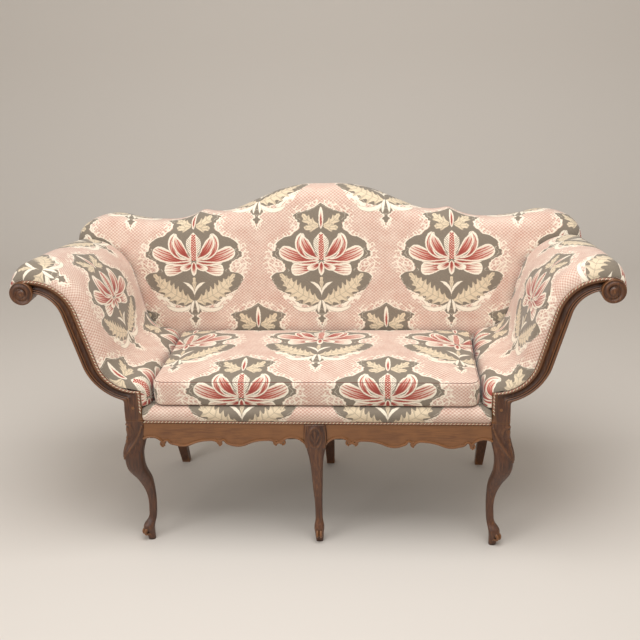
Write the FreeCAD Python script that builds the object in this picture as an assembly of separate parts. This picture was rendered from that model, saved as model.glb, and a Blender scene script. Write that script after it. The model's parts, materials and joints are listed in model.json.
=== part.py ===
"""Camelback settee with out-scrolled arms: carved walnut frame, stuffed cover, loose seat cushion.

Lengths are in millimetres.  X runs across the settee, Y from the front to the back, Z up.
The origin lies on the floor, under the middle of the settee.  Left is -X, right is +X.
The right-hand pieces are drawn, and the left-hand ones are their mirror images.
"""
import FreeCAD, Part
import math
import os

Vector = FreeCAD.Vector

# Seat frame
SEAT_WIDTH = 1006.0         # between the two front corner blocks
BLOCK = 53.0                # side of a square front corner block
FRAME_DEPTH = 498.0         # front plane to the front of the back frame, at the apron's top
APRON_TOP = 405.0           # top of the shown wood
LEG_TOP = 413.0             # joint between a front leg and its arm scroll
RAIL_TOP = 430.0            # top of the seat rails, under the cover
RAIL_FOOT = 345.0           # lower edge of the plain rails
RAIL_THICK = 28.0
APRON_SET_BACK = 4.0        # apron face behind the block faces
APRON_REBATE = 3.0          # step in the apron that takes the cover
FIT = 0.3                   # clearance of a soft piece
CROSS_RAIL = 40.0           # width of the cross rail
CROSS_RAIL_HEIGHT = 50.0
CORNER_BLOCK = 62.0         # leg of a glued corner block
CORNER_BLOCK_HEIGHT = 45.0
CORNER_BLOCK_DROP = 18.0    # under the rails' top
SCREW, SCREW_LENGTH, SCREW_HEAD, SCREW_HEAD_HIGH = 5.0, 52.0, 10.0, 3.0
HEM = 8.0                   # edge of the dust cover inside the rails' outer faces
KNEE_IN = 6.0               # room of the dust cover round the front legs
TACK_HEAD, TACK_HEAD_HIGH, TACK_SHANK, TACK_LENGTH = 8.0, 1.2, 2.0, 12.0
PEG, PEG_LENGTH, PEG_PROUD, PEG_RISE = 9.0, 22.0, 0.6, 42.0

# Front corner legs: height, way out along each side, and width
LEG_SQUARE, LEG_ROUND, LEG_SHOULDER_ROUND = 0.06, 0.36, 0.2     # corners, as a share of the width
LEG_BLOCK_RISE = 8.0        # height of the square block under the apron's top
SHOULDER_HEIGHT, SHOULDER_OUT, SHOULDER_WIDTH = 362.0, 0.0, 52.0
KNEE_HEIGHT, KNEE_OUT, KNEE_WIDTH = 298.0, 13.0, 55.0
THIGH_HEIGHT, THIGH_OUT, THIGH_WIDTH = 258.0, 10.0, 53.0
CALF_HEIGHT, CALF_OUT, CALF_WIDTH = 208.0, -8.0, 40.0
SHIN_HEIGHT, SHIN_OUT, SHIN_WIDTH = 165.0, -17.0, 28.0
ANKLE_HEIGHT, ANKLE_OUT, ANKLE_WIDTH = 105.0, -19.0, 23.0
NECK_HEIGHT, NECK_OUT, NECK_WIDTH = 70.0, -15.0, 25.0
TOE_HEIGHT, TOE_OUT, TOE_WIDTH = 50.0, -6.0, 34.0
SOLE_HEIGHT, SOLE_OUT, SOLE_WIDTH = 25.0, -8.0, 26.0
FOOT_OUT, FOOT_WIDTH = -10.0, 22.0

# Middle front leg and its side view
MIDDLE_LEG = 71.0           # width at the apron
MIDDLE_DEPTH = 50.0
MIDDLE_CHEEK_HEIGHT, MIDDLE_CHEEK_WIDTH, MIDDLE_CHEEK_ROUND = 352.0, 67.0, 0.1
MIDDLE_WAIST_HEIGHT, MIDDLE_WAIST_WIDTH, MIDDLE_WAIST_DEPTH, MIDDLE_WAIST_ROUND = 292.0, 43.0, 46.0, 0.25
MIDDLE_SHIN_HEIGHT, MIDDLE_SHIN_WIDTH, MIDDLE_SHIN_DEPTH, MIDDLE_SHIN_OUT = 190.0, 29.0, 30.0, 9.0
MIDDLE_ANKLE_HEIGHT, MIDDLE_ANKLE_WIDTH, MIDDLE_ANKLE_IN = 100.0, 22.0, 2.0
MIDDLE_NECK_HEIGHT, MIDDLE_NECK_WIDTH = 72.0, 23.0
MIDDLE_TOE_HEIGHT, MIDDLE_TOE_WIDTH, MIDDLE_TOE_OUT = 52.0, 30.0, 5.0
MIDDLE_SOLE_HEIGHT, MIDDLE_SOLE_WIDTH, MIDDLE_SOLE_DEPTH, MIDDLE_SOLE_OUT = 25.0, 26.0, 24.0, 3.0
MIDDLE_FOOT_DEPTH = 20.0
MIDDLE_ROUND = 0.3          # corners below the waist, as a share of the width
MIDDLE_KNEE_PROUD = 5.0
MIDDLE_FOOT_BACK = 41.0     # middle of its foot behind the front plane

# Rear legs
REAR_LEG = 42.0
REAR_FOOT_IN = 13.0         # a corner foot nearer the middle than the leg's top
REAR_FOOT_WIDTH = 27.0
REAR_FOOT_SPLAY = 50.0      # foot behind the leg's top
REAR_BEND_HEIGHT = 250.0
REAR_LEG_ROUND = 0.08       # corners, as a share of the width

# Apron's lower edge: share of the bay from the middle leg, and height
APRON_CENTRE_SCALLOP = ((-0.02, 324.0), (0.014, 351.0), (0.078, 360.0), (0.116, 353.0), (0.132, 336.0))
APRON_PAIR_NOTCH = ((0.150, 343.0), (0.168, 335.0))
APRON_FIRST_WAVE = ((0.186, 347.0), (0.222, 351.0), (0.290, 348.0), (0.343, 340.0))
APRON_FIRST_BELLY = ((0.405, 331.0), (0.470, 337.0), (0.497, 346.0), (0.503, 352.0))
APRON_MID_CUSP = (0.532, 332.0)
APRON_SECOND_WAVE = ((0.546, 344.0), (0.588, 349.0), (0.662, 344.0), (0.712, 335.0))
APRON_SECOND_BELLY = ((0.760, 330.0), (0.815, 335.0), (0.855, 343.0), (0.863, 350.0))
APRON_LAST_CUSP = (0.887, 327.0)
APRON_CORNER_SCALLOP = ((0.904, 347.0), (0.964, 359.0), (1.012, 350.0), (1.036, 334.0))

# Arm scroll: the S of its upper edge, then the volute
SCROLL_START = 12.0         # level stretch on top of the block
SCROLL_SEAT = 96.0          # its height over the leg joint
SCROLL_RADIUS = 111.0
SCROLL_LEAN = 74.0
SCROLL_RUN = 165.0
SCROLL_TOP_RADIUS = 131.0
SCROLL_OVER = 13.0
VOLUTE_RADIUS = 33.0
VOLUTE_PROUD = 12.0
VOLUTE_EYE = 11.0
VOLUTE_EYE_PROUD = 3.0
VOLUTE_LIP = 185.0          # angle at which the board's lower edge runs into the volute
SCROLL_THICK = 45.0
BAND_LOW = 38.0             # width of the board at its foot, on the straight and under the top
BAND_RUN = 46.0
BAND_TOP = 43.0
BAND_HEEL = -48.0           # angle of the middle of the lower edge's arc at the foot
BAND_HEEL_SWELL = 2.0
BAND_NECK = 135.0           # the same of its arc under the top
ARM_FALL = 55.0             # the arm's top is that much lower at the back
REAR_BOARD = 26.0           # thickness of the arm's rear board
REAR_BOARD_WIDTH = 27.0
REAR_BOARD_COVER = 6.0      # stuffing over the rear board's upper edge
SLAT, SLAT_SET_IN = 45.0, 10.0      # height of the tacking slat, and its place under the hessian

# Arm stuffing and covers
ARM_PAD = 34.0
ARM_CROWN = 44.0            # stuffing over the top of the scroll
ARM_FOOT = 25.0             # stuffing beside the cushion
ARM_SHOULDER = 9.0          # the foot's side ends that far under the scroll's seat
ARM_SHOULDER_SWELL = (0.27, 0.68)   # middle of the arc above it, as a share of its width and height
ARM_PEAK, ARM_SWELL, ARM_ROLL = 86.0, 128.0, 48.0   # angles of the crown's top, its start and its fall
ROLL_PAD = 3.0
ROLL_SHARE = 0.36           # stuffing of the crown that is left half-way down the roll
ROLL_END = 60.0             # the stuffing ends that far under the volute, in degrees
ARM_EDGE = ((0.0, 0.22), (0.18, 0.62), (0.45, 0.88), (1.0, 1.0))    # share of the board, of the stuffing
CLOTH = 3.0                 # outside covers
SEAM_EASE = 2.5             # the back's sides inside the arms' outside covers
HESSIAN = 1.5
GIMP_WIDTH = 12.0
GIMP_THICK = 3.0
GIMP_LAP = 3.0              # braid over the cover's edge
GIMP_RISE = 30.0            # where it starts, over the leg joint

# Back
BACK_SLOPE = 0.20           # set back per unit of height
BACK_PAD = 62.0             # stuffing in front of the frame
BACK_FRAME = 26.0
BACK_POCKET = 15.0          # stuffed rim around the frame
BACK_EDGE = 16.0            # rounding of the front edge
BACK_CROWN = 7.0
BACK_CROWN_IN = 90.0        # edge of the flat of the crown inside the outline
BACK_REAR_IN, BACK_FRONT_IN = 2.0, 3.0      # the outline draws in at the rear and under the rounding
BACK_SHEET_INSET = 2.0
BACK_MIDDLE = 700.0         # height about which the outline draws in
UPRIGHT = 50.0
UPRIGHT_INSET = 14.0
BACK_RAIL = 50.0            # height of the rail above the deck
BACK_RAIL_RISE = 9.0
CENTRE_POST = 44.0
CREST_BOARD = 70.0
EAR_DROP = 25.0             # the crest board reaches down over the arm's rear board at its ends
EAR_LAP = 60.0
EAR_OUT, EAR_RISE = 26.6, 62.6      # the ear's outermost point from the middle of the arm's roll
EAR_ROLL, EAR_ROLL_END = 12.0, -70.0    # angles at which the back's side follows the roll
SIDE_NECK = 128.0           # angle of the middle of the side's arc under the arm's top
CREST_HUMP = ((0.0, 984.0), (96.0, 979.0), (175.0, 958.0))
CREST_SLOPE = (282.0, 913.0)
CREST_VALLEY = ((345.0, 899.0), (403.0, 908.0))
CREST_FALL = ((444.0, 887.0), (505.0, 875.0))
CREST_SADDLE = ((575.0, 877.0), (640.0, 886.0))
CREST_EAR = ((-104.0, 81.0), (-34.0, 58.0))     # from the ear's outermost point
CREST_END = (-9.0, 34.0)

# Seat upholstery and cushion
WEBBING = 2.0
WEB_WIDTH = 50.0
WEB_TURN = 10.0             # lap of a strap on its rail
SEAT_STRAPS, SEAT_CROSS_STRAPS, BACK_STRAPS, BACK_CROSS_STRAPS = 7, 4, 6, 3
REAR_TACKS, SIDE_TACKS = 12, 5
DECK_TOP = 461.0
DECK_CLOTH = 2.0
DECK_EASE = 1.0             # deck in front of the back frame
LIP_BULGE = 6.0             # front border proud of the block faces
LIP_BULGE_RISE = 8.0        # height of the bulge over the border's middle
LIP_ROUND = 14.0
LIP_DEPTH = 48.0
LIP_BRAID = 1.0             # braid proud of the front plane
CUSHION_GAP = 3.0
CUSHION_SIDE = 72.0         # height of the cushion's border
CUSHION_CROWN = 28.0
CUSHION_CORNER = 34.0
CUSHION_LEAST_CORNER = 12.0
CUSHION_CORNER_LOSS = 0.1   # the corners sharpen that much per unit of inset
CUSHION_DRAW_IN = 5.0
CUSHION_COVER = 2.5
# Height over the foot and inset of the border, then share of the crown and inset of the top
CUSHION_FOOT = ((0.0, 16.0), (6.0, 5.0))
CUSHION_BORDER = ((18.0, 1.0), (CUSHION_SIDE / 2, 0.0), (CUSHION_SIDE - 12, 1.5))
CUSHION_TOP = ((0.0, 5.0), (0.34, 22.0), (0.62, 58.0), (0.86, 112.0), (1.0, 185.0))

# Derived places
SEAT_HALF = SEAT_WIDTH / 2
BLOCK_OUT = SEAT_HALF + BLOCK
RUN_DROP = ARM_FALL / math.sin(math.radians(SCROLL_LEAN))
SCROLL_Z = LEG_TOP + SCROLL_SEAT
FRAME_REAR = FRAME_DEPTH + BACK_FRAME
CREST_TOP = CREST_HUMP[0][1]
BACK_REACH = FRAME_REAR + CLOTH + BACK_SLOPE * (CREST_TOP - APRON_TOP)
FRONT_PROUD = max(VOLUTE_PROUD + VOLUTE_EYE_PROUD, KNEE_OUT + (KNEE_WIDTH - BLOCK) / 2)
FRONT = -(BACK_REACH - FRONT_PROUD) / 2
APRON_FACE = FRONT + APRON_SET_BACK
REAR_LEG_OUT = BLOCK_OUT - CLOTH - FIT
SIDE_RAIL_IN = REAR_LEG_OUT - RAIL_THICK
SEAT_CANVAS = RAIL_TOP + 2 * WEBBING + HESSIAN
REAR_RAIL_FACE = FRONT + FRAME_REAR - RAIL_THICK
CREST_FOOT = CREST_FALL[1][1] - BACK_POCKET - CREST_BOARD
BACK_RAIL_FOOT = DECK_TOP + BACK_RAIL_RISE
UPRIGHT_INNER = REAR_LEG_OUT - UPRIGHT_INSET - UPRIGHT
PIECES = {}


class Outline:
    """A flat outline drawn step by step in its own plane, as straight runs and arcs."""

    def __init__(self, start, heading=0.0):
        self.start = start
        self.point = start
        self.heading = heading
        self.steps = []

    def to(self, point):
        self.heading = math.degrees(math.atan2(point[1] - self.point[1], point[0] - self.point[0]))
        self.steps.append((None, point))
        self.point = point
        return self

    def through(self, middle, point):
        self.steps.append((middle, point))
        self.point = point
        return self

    def step(self, middle, point):
        """An arc through the middle point, or a straight where there is none."""
        if middle is None:
            return self.to(point)
        return self.through(middle, point)

    def run(self, length):
        angle = math.radians(self.heading)
        return self.to((self.point[0] + length * math.cos(angle),
                        self.point[1] + length * math.sin(angle)))

    def bend(self, radius, turn):
        """Follow an arc that is tangent to the heading; a positive turn goes to the left."""
        side = math.copysign(1.0, turn)
        centre = polar(self.point, radius, self.heading + 90 * side)
        first = self.heading - 90 * side
        self.heading += turn
        return self.through(polar(centre, radius, first + turn / 2), polar(centre, radius, first + turn))

    def back_along(self, other):
        """Go over to another outline's end and follow that outline back to its start."""
        self.to(other.point)
        ends = [other.start] + [step[1] for step in other.steps]
        for (middle, _), end in zip(reversed(other.steps), reversed(ends[:-1])):
            self.step(middle, end)
        return self

    def wire(self, place):
        edges = []
        here = self.start
        for middle, end in self.steps + [(None, self.start)]:
            if math.dist(here, end) > 1e-6:
                curve = Part.LineSegment(place(*here), place(*end))
                if middle is not None:
                    curve = Part.Arc(place(*here), place(*middle), place(*end))
                edges.append(curve.toShape())
            here = end
        return Part.Wire(edges)


def polar(centre, radius, angle):
    return (centre[0] + radius * math.cos(math.radians(angle)),
            centre[1] + radius * math.sin(math.radians(angle)))


def upright_plane(y):
    return lambda x, z: Vector(x, y, z)


def side_plane(x):
    return lambda y, z: Vector(x, y, z)


def level_plane(z):
    return lambda x, y: Vector(x, y, z)


def back_y(z, depth=0.0):
    """Y of the leaning back at a height, with the depth counted from the front of its frame."""
    return FRONT + FRAME_DEPTH + BACK_SLOPE * (z - APRON_TOP) + depth


def back_plane(depth):
    return lambda x, z: Vector(x, back_y(z, depth), z)


def prism(outline, place, way):
    return Part.Face(outline.wire(place)).extrude(Vector(*way))


def box(low, high):
    size = [b - a for a, b in zip(low, high)]
    return Part.makeBox(*size, Vector(*low))


def mirrored(shape):
    return shape.mirror(Vector(0, 0, 0), Vector(1, 0, 0))


def largest(shape):
    """The main solid that a cut leaves, without its slivers."""
    return max(shape.Solids, key=lambda solid: solid.Volume)


def keep(name, shape):
    PIECES[name] = shape


def keep_pair(name, shape):
    keep(name + "_right", shape)
    keep(name + "_left", mirrored(shape))


def in_front_of_back(shape, depth):
    """Cut away what lies behind the leaning plane at this depth."""
    reach = 2 * CREST_TOP
    behind = Outline((back_y(0, depth), 0)).to((back_y(reach, depth), reach))
    behind.to((reach, reach)).to((reach, 0))
    return shape.cut(prism(behind, side_plane(-reach), (2 * reach, 0, 0)))


def soft_square(x, y, wide, deep, corner, z):
    """A square with rounded corners, about (x, y) at a height."""
    a, b = wide / 2, deep / 2
    path = Outline((x - a + corner, y - b))
    for turn, length in ((0, wide), (90, deep), (180, wide), (270, deep)):
        path.heading = turn
        path.run(length - 2 * corner).bend(corner, 90)
    return path.wire(level_plane(z))


def eased(rows, pieces=3):
    """More rows between the given ones, on smooth curves over the first column."""
    def slope(i, column):
        low, high = rows[max(i - 1, 0)], rows[min(i + 1, len(rows) - 1)]
        return (high[column] - low[column]) / (high[0] - low[0])

    result = []
    for i in range(len(rows) - 1):
        span = rows[i + 1][0] - rows[i][0]
        for k in range(pieces):
            s = k / pieces
            row = [rows[i][0] + s * span]
            for column in range(1, len(rows[i])):
                a, b = rows[i][column], rows[i + 1][column]
                bend = (1 - s) * slope(i, column) - s * slope(i + 1, column)
                row.append(a + (b - a) * s * s * (3 - 2 * s) + s * (1 - s) * span * bend)
            result.append(row)
    return result + [list(rows[-1])]


def lofted_leg(stations):
    """A leg through stations of (height, x, y, width, depth, corner share)."""
    wires = [soft_square(x, y, wide, deep, share * min(wide, deep), z)
             for z, x, y, wide, deep, share in stations]
    return Part.makeLoft(wires, True, True)


def front_corner_leg():
    middle = SEAT_HALF + BLOCK / 2
    run = ((0.0, FOOT_OUT, FOOT_WIDTH, LEG_ROUND),
           (SOLE_HEIGHT, SOLE_OUT, SOLE_WIDTH, LEG_ROUND),
           (TOE_HEIGHT, TOE_OUT, TOE_WIDTH, LEG_ROUND),
           (NECK_HEIGHT, NECK_OUT, NECK_WIDTH, LEG_ROUND),
           (ANKLE_HEIGHT, ANKLE_OUT, ANKLE_WIDTH, LEG_ROUND),
           (SHIN_HEIGHT, SHIN_OUT, SHIN_WIDTH, LEG_ROUND),
           (CALF_HEIGHT, CALF_OUT, CALF_WIDTH, LEG_ROUND),
           (THIGH_HEIGHT, THIGH_OUT, THIGH_WIDTH, LEG_ROUND),
           (KNEE_HEIGHT, KNEE_OUT, KNEE_WIDTH, LEG_ROUND),
           (SHOULDER_HEIGHT, SHOULDER_OUT, SHOULDER_WIDTH, LEG_SHOULDER_ROUND),
           (APRON_TOP - LEG_BLOCK_RISE, 0.0, BLOCK, LEG_SQUARE),
           (LEG_TOP, 0.0, BLOCK, LEG_SQUARE))
    return lofted_leg([(z, middle + out, FRONT + BLOCK / 2 - out, width, width, share)
                       for z, out, width, share in eased(run)])


def middle_front_leg():
    centre = FRONT + MIDDLE_DEPTH / 2
    foot = FRONT + MIDDLE_FOOT_BACK
    knee = centre - MIDDLE_KNEE_PROUD
    slim = MIDDLE_ANKLE_WIDTH
    rows = ((0.0, foot, slim, MIDDLE_FOOT_DEPTH, MIDDLE_ROUND),
            (MIDDLE_SOLE_HEIGHT, foot - MIDDLE_SOLE_OUT, MIDDLE_SOLE_WIDTH, MIDDLE_SOLE_DEPTH, MIDDLE_ROUND),
            (MIDDLE_TOE_HEIGHT, foot - MIDDLE_TOE_OUT, MIDDLE_TOE_WIDTH, MIDDLE_TOE_WIDTH, MIDDLE_ROUND),
            (MIDDLE_NECK_HEIGHT, foot, MIDDLE_NECK_WIDTH, slim, MIDDLE_ROUND),
            (MIDDLE_ANKLE_HEIGHT, foot + MIDDLE_ANKLE_IN, slim, slim, MIDDLE_ROUND),
            (MIDDLE_SHIN_HEIGHT, foot - MIDDLE_SHIN_OUT, MIDDLE_SHIN_WIDTH, MIDDLE_SHIN_DEPTH, MIDDLE_ROUND),
            (MIDDLE_WAIST_HEIGHT, knee, MIDDLE_WAIST_WIDTH, MIDDLE_WAIST_DEPTH, MIDDLE_WAIST_ROUND),
            (MIDDLE_CHEEK_HEIGHT, knee, MIDDLE_CHEEK_WIDTH, MIDDLE_DEPTH, MIDDLE_CHEEK_ROUND),
            (APRON_TOP, centre, MIDDLE_LEG, MIDDLE_DEPTH, LEG_SQUARE))
    leg = lofted_leg([(z, 0.0, y, wide, deep, share) for z, y, wide, deep, share in eased(rows)])
    tenon = box((-MIDDLE_LEG / 2, APRON_FACE + APRON_REBATE, APRON_TOP),
                (MIDDLE_LEG / 2, FRONT + MIDDLE_DEPTH, RAIL_TOP))
    return leg.fuse(tenon).removeSplitter()


def rear_leg(x, top, foot_in=0.0):
    """A rear leg that sweeps back to its foot under a square block."""
    y = FRONT + FRAME_REAR - REAR_LEG / 2
    slim = (REAR_LEG + REAR_FOOT_WIDTH) / 2
    sweep = eased(((0.0, x - foot_in, y + REAR_FOOT_SPLAY, REAR_FOOT_WIDTH),
                   (REAR_BEND_HEIGHT / 2, x - foot_in / 3, y + REAR_FOOT_SPLAY / 3, slim),
                   (REAR_BEND_HEIGHT, x, y, REAR_LEG), (RAIL_FOOT, x, y, REAR_LEG)))
    rows = sweep + ([[top, x, y, REAR_LEG]] if top > RAIL_FOOT else [])
    return lofted_leg([(z, at, back, width, width, REAR_LEG_ROUND) for z, at, back, width in rows])


def apron_x(share):
    return MIDDLE_LEG / 2 + share * (SEAT_HALF - MIDDLE_LEG / 2)


def front_apron(legs):
    """One half of the front rail, with its waved lower edge and the rebate for the cover."""
    def at(point):
        return (apron_x(point[0]), point[1])

    def arcs(path, run):
        for middle, end in zip(run[0::2], run[1::2]):
            path.through(at(middle), at(end))

    path = Outline(at(APRON_CENTRE_SCALLOP[0]))
    arcs(path, APRON_CENTRE_SCALLOP[1:])
    for run in (APRON_PAIR_NOTCH, APRON_FIRST_WAVE, APRON_FIRST_BELLY):
        arcs(path, run)
    path.to(at(APRON_MID_CUSP))
    for run in (APRON_SECOND_WAVE, APRON_SECOND_BELLY):
        arcs(path, run)
    path.to(at(APRON_LAST_CUSP))
    arcs(path, APRON_CORNER_SCALLOP)
    end = path.point[0]
    path.to((end, RAIL_TOP)).to((path.start[0], RAIL_TOP))
    board = prism(path, upright_plane(APRON_FACE), (0, RAIL_THICK, 0))
    step = box((0, APRON_FACE, APRON_TOP), (2 * BLOCK_OUT, APRON_FACE + APRON_REBATE, RAIL_TOP))
    above_leg = box((SEAT_HALF, FRONT, APRON_TOP), (BLOCK_OUT, FRONT + BLOCK, RAIL_TOP))
    board = board.cut(step).cut(above_leg)
    for leg in legs:
        board = board.cut(leg)
    return largest(board)


def arm_line(run, offset=0.0, roll_end=ROLL_END):
    """The upper edge of an arm, from the block to under the volute; the offset goes into the stuffing."""
    path = Outline((SEAT_HALF + SCROLL_START, SCROLL_Z + offset))
    path.bend(SCROLL_RADIUS - offset, SCROLL_LEAN).run(run)
    path.bend(SCROLL_TOP_RADIUS + offset, -SCROLL_LEAN - SCROLL_OVER)
    return path.bend(VOLUTE_RADIUS + offset, -(90 - SCROLL_OVER) - roll_end)


def run_at(y):
    """Length of the scroll's straight at a depth: it shortens towards the back as the arm falls."""
    start = FRONT + SCROLL_THICK
    return SCROLL_RUN - RUN_DROP * max(0.0, y - start) / (back_y(BACK_MIDDLE) - start)


def scroll_centre():
    return (SEAT_HALF + SCROLL_START, SCROLL_Z + SCROLL_RADIUS)


def top_centre(run):
    ends = Outline((SEAT_HALF + SCROLL_START, SCROLL_Z)).bend(SCROLL_RADIUS, SCROLL_LEAN).run(run)
    return polar(ends.point, SCROLL_TOP_RADIUS, SCROLL_LEAN - 90)


def volute_centre(run):
    return polar(top_centre(run), SCROLL_TOP_RADIUS - VOLUTE_RADIUS, 90 - SCROLL_OVER)


def under_line(run, inset=0.0):
    """The lower edge of an arm, from the block's outer face up to the volute."""
    low = SCROLL_RADIUS + BAND_LOW - inset
    first = scroll_centre()
    outer = BLOCK_OUT - inset
    foot = (outer, first[1] - math.sqrt(low ** 2 - (outer - first[0]) ** 2))
    straight = Outline(first, SCROLL_LEAN)
    straight.point = polar(first, SCROLL_RADIUS + BAND_RUN - inset, SCROLL_LEAN - 90)
    below = straight.point
    above = straight.run(run).point
    last = top_centre(run)
    path = Outline(foot).through(polar(first, low + BAND_HEEL_SWELL, BAND_HEEL), below).to(above)
    lip = VOLUTE_LIP - math.degrees(inset / VOLUTE_RADIUS)
    return path.through(polar(last, SCROLL_TOP_RADIUS - BAND_TOP + inset, BAND_NECK),
                        polar(volute_centre(run), VOLUTE_RADIUS, lip))


def ear(out=0.0, up=0.0):
    """A point of the back, counted from the ear's outermost point, which follows the arm's roll."""
    roll = volute_centre(run_at(back_y(BACK_MIDDLE)))
    return (roll[0] + EAR_OUT + out, roll[1] + EAR_RISE + up)


def arm_scroll():
    path = Outline((SEAT_HALF, LEG_TOP)).to((SEAT_HALF, SCROLL_Z)).to((SEAT_HALF + SCROLL_START, SCROLL_Z))
    path.heading = 0.0
    path.bend(SCROLL_RADIUS, SCROLL_LEAN).run(SCROLL_RUN)
    path.bend(SCROLL_TOP_RADIUS, -SCROLL_LEAN - SCROLL_OVER)
    half_way = (360 - VOLUTE_LIP + 90 - SCROLL_OVER) / 2
    path.bend(VOLUTE_RADIUS, -half_way).bend(VOLUTE_RADIUS, -half_way)
    path.back_along(under_line(SCROLL_RUN)).to((BLOCK_OUT, LEG_TOP))
    board = prism(path, upright_plane(FRONT), (0, SCROLL_THICK, 0))
    x, z = volute_centre(SCROLL_RUN)
    boss = Part.makeCylinder(VOLUTE_RADIUS, VOLUTE_PROUD + SCROLL_THICK, Vector(x, FRONT - VOLUTE_PROUD, z),
                             Vector(0, 1, 0))
    eye = Part.makeCylinder(VOLUTE_EYE, VOLUTE_PROUD, Vector(x, FRONT - VOLUTE_PROUD - VOLUTE_EYE_PROUD, z),
                            Vector(0, 1, 0))
    return board.fuse([boss, eye]).removeSplitter()


def arm_rear_board():
    """The hidden board at the arm's back, against the back frame."""
    run = run_at(back_y(BACK_MIDDLE))
    cover = REAR_BOARD_COVER
    path = Outline((SEAT_HALF, RAIL_TOP)).to((SEAT_HALF, SCROLL_Z - cover))
    path.to((SEAT_HALF + SCROLL_START, SCROLL_Z - cover))
    path.heading = 0.0
    path.bend(SCROLL_RADIUS + cover, SCROLL_LEAN).run(run)
    path.bend(SCROLL_TOP_RADIUS - cover, -SCROLL_LEAN - SCROLL_OVER)
    lower = Outline((SEAT_HALF + SCROLL_START, SCROLL_Z - cover - REAR_BOARD_WIDTH))
    lower.bend(SCROLL_RADIUS + cover + REAR_BOARD_WIDTH, SCROLL_LEAN).run(run)
    lower.bend(SCROLL_TOP_RADIUS - cover - REAR_BOARD_WIDTH, -SCROLL_LEAN - SCROLL_OVER)
    path.back_along(lower).to((SEAT_HALF + SCROLL_START, RAIL_TOP))
    return prism(path, back_plane(-REAR_BOARD), (0, REAR_BOARD, 0))


def arm_top_rail():
    """The round rail under the arm's roll, from the volute to the rear board."""
    radius = VOLUTE_RADIUS - 2 * HESSIAN
    last = back_y(CREST_TOP)
    wires = []
    for y in (FRONT + SCROLL_THICK, last):
        x, z = volute_centre(run_at(y))
        wires.append(Part.Wire(Part.makeCircle(radius, Vector(x, y, z), Vector(0, 1, 0))))
    return in_front_of_back(Part.makeLoft(wires, True, True), -REAR_BOARD)


def arm_tacking_rail():
    """The slat half-way up the arm that the outside cover is tacked to."""
    wires = []
    for y in (FRONT + SCROLL_THICK, back_y(CREST_TOP)):
        foot = polar(scroll_centre(), SCROLL_RADIUS + SLAT_SET_IN, SCROLL_LEAN - 90)
        path = Outline(foot, SCROLL_LEAN).run(SLAT)
        path.heading -= 90
        path.run(BAND_RUN - SLAT_SET_IN - CLOTH - FIT)
        path.heading -= 90
        path.run(SLAT)
        wires.append(path.wire(upright_plane(y)))
    return in_front_of_back(Part.makeLoft(wires, True, True), -REAR_BOARD)


def arm_pad_outline(swell, y):
    """Section of the arm's stuffing at a depth; the swell, from 0 to 1, rounds the front edge."""
    run = run_at(y)
    pad, foot, crown = ARM_PAD * swell, ARM_FOOT * swell, ARM_CROWN * swell
    inner = SEAT_HALF - foot
    start = (SEAT_HALF + SCROLL_START, SCROLL_Z + pad)
    shoulder = SCROLL_Z - ARM_SHOULDER
    across, along = ARM_SHOULDER_SWELL
    path = Outline((inner, DECK_TOP + FIT)).to((inner, shoulder))
    path.through((inner + across * (start[0] - inner), shoulder + along * (start[1] - shoulder)), start)
    path.heading = 0.0
    path.bend(SCROLL_RADIUS - pad, SCROLL_LEAN).run(run)
    peak = polar(top_centre(run), SCROLL_TOP_RADIUS + crown, ARM_PEAK)
    over = polar(top_centre(run), SCROLL_TOP_RADIUS + (crown + pad) / 2, ARM_SWELL)
    path.through(over, peak)
    roll = volute_centre(run)
    radius = VOLUTE_RADIUS + ROLL_PAD
    path.through(polar(roll, radius + ROLL_SHARE * crown, ARM_ROLL), polar(roll, radius, 0))
    path.through(polar(roll, radius, -ROLL_END / 2), polar(roll, radius, -ROLL_END))
    wood = Outline((SEAT_HALF, DECK_TOP + FIT)).to((SEAT_HALF, SCROLL_Z))
    wood.to((SEAT_HALF + SCROLL_START, SCROLL_Z))
    wood.heading = 0.0
    wood.bend(SCROLL_RADIUS, SCROLL_LEAN).run(run).bend(SCROLL_TOP_RADIUS, -SCROLL_LEAN - SCROLL_OVER)
    wood.bend(VOLUTE_RADIUS, -(90 - SCROLL_OVER)).bend(VOLUTE_RADIUS, -ROLL_END)
    return path.back_along(wood)


def arm_pad():
    """The arm's stuffing with its cover: rounded at the front, falling towards the back."""
    last = back_y(CREST_TOP)
    wires = []
    for share, swell in ARM_EDGE:
        y = FRONT + max(share * SCROLL_THICK, FIT)
        wires.append(arm_pad_outline(swell, y).wire(upright_plane(y)))
    wires.append(arm_pad_outline(1.0, last).wire(upright_plane(last)))
    return in_front_of_back(Part.makeLoft(wires, True, True), -BACK_PAD - FIT)


def behind_scroll(sheet, rear_depth):
    """A sheet of the arm from the scroll board to the leaning back."""
    wires = [sheet(run_at(y)).wire(upright_plane(y)) for y in (FRONT + SCROLL_THICK, back_y(CREST_TOP))]
    return in_front_of_back(Part.makeLoft(wires, True, True), rear_depth)


def arm_hessian():
    def sheet(run):
        path = arm_line(run, -FIT, 0)
        return path.back_along(arm_line(run, -FIT - HESSIAN, 0))
    return behind_scroll(sheet, -BACK_PAD - BACK_CROWN - FIT)


def arm_outside_cover():
    def sheet(run):
        outer, inner = under_line(run), under_line(run, CLOTH)
        path = Outline((BLOCK_OUT, LEG_TOP + FIT)).to(outer.start)
        for middle, end in outer.steps:
            path.step(middle, end)
        return path.back_along(inner).to((BLOCK_OUT - CLOTH, LEG_TOP + FIT))
    return behind_scroll(sheet, BACK_FRAME)


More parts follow.
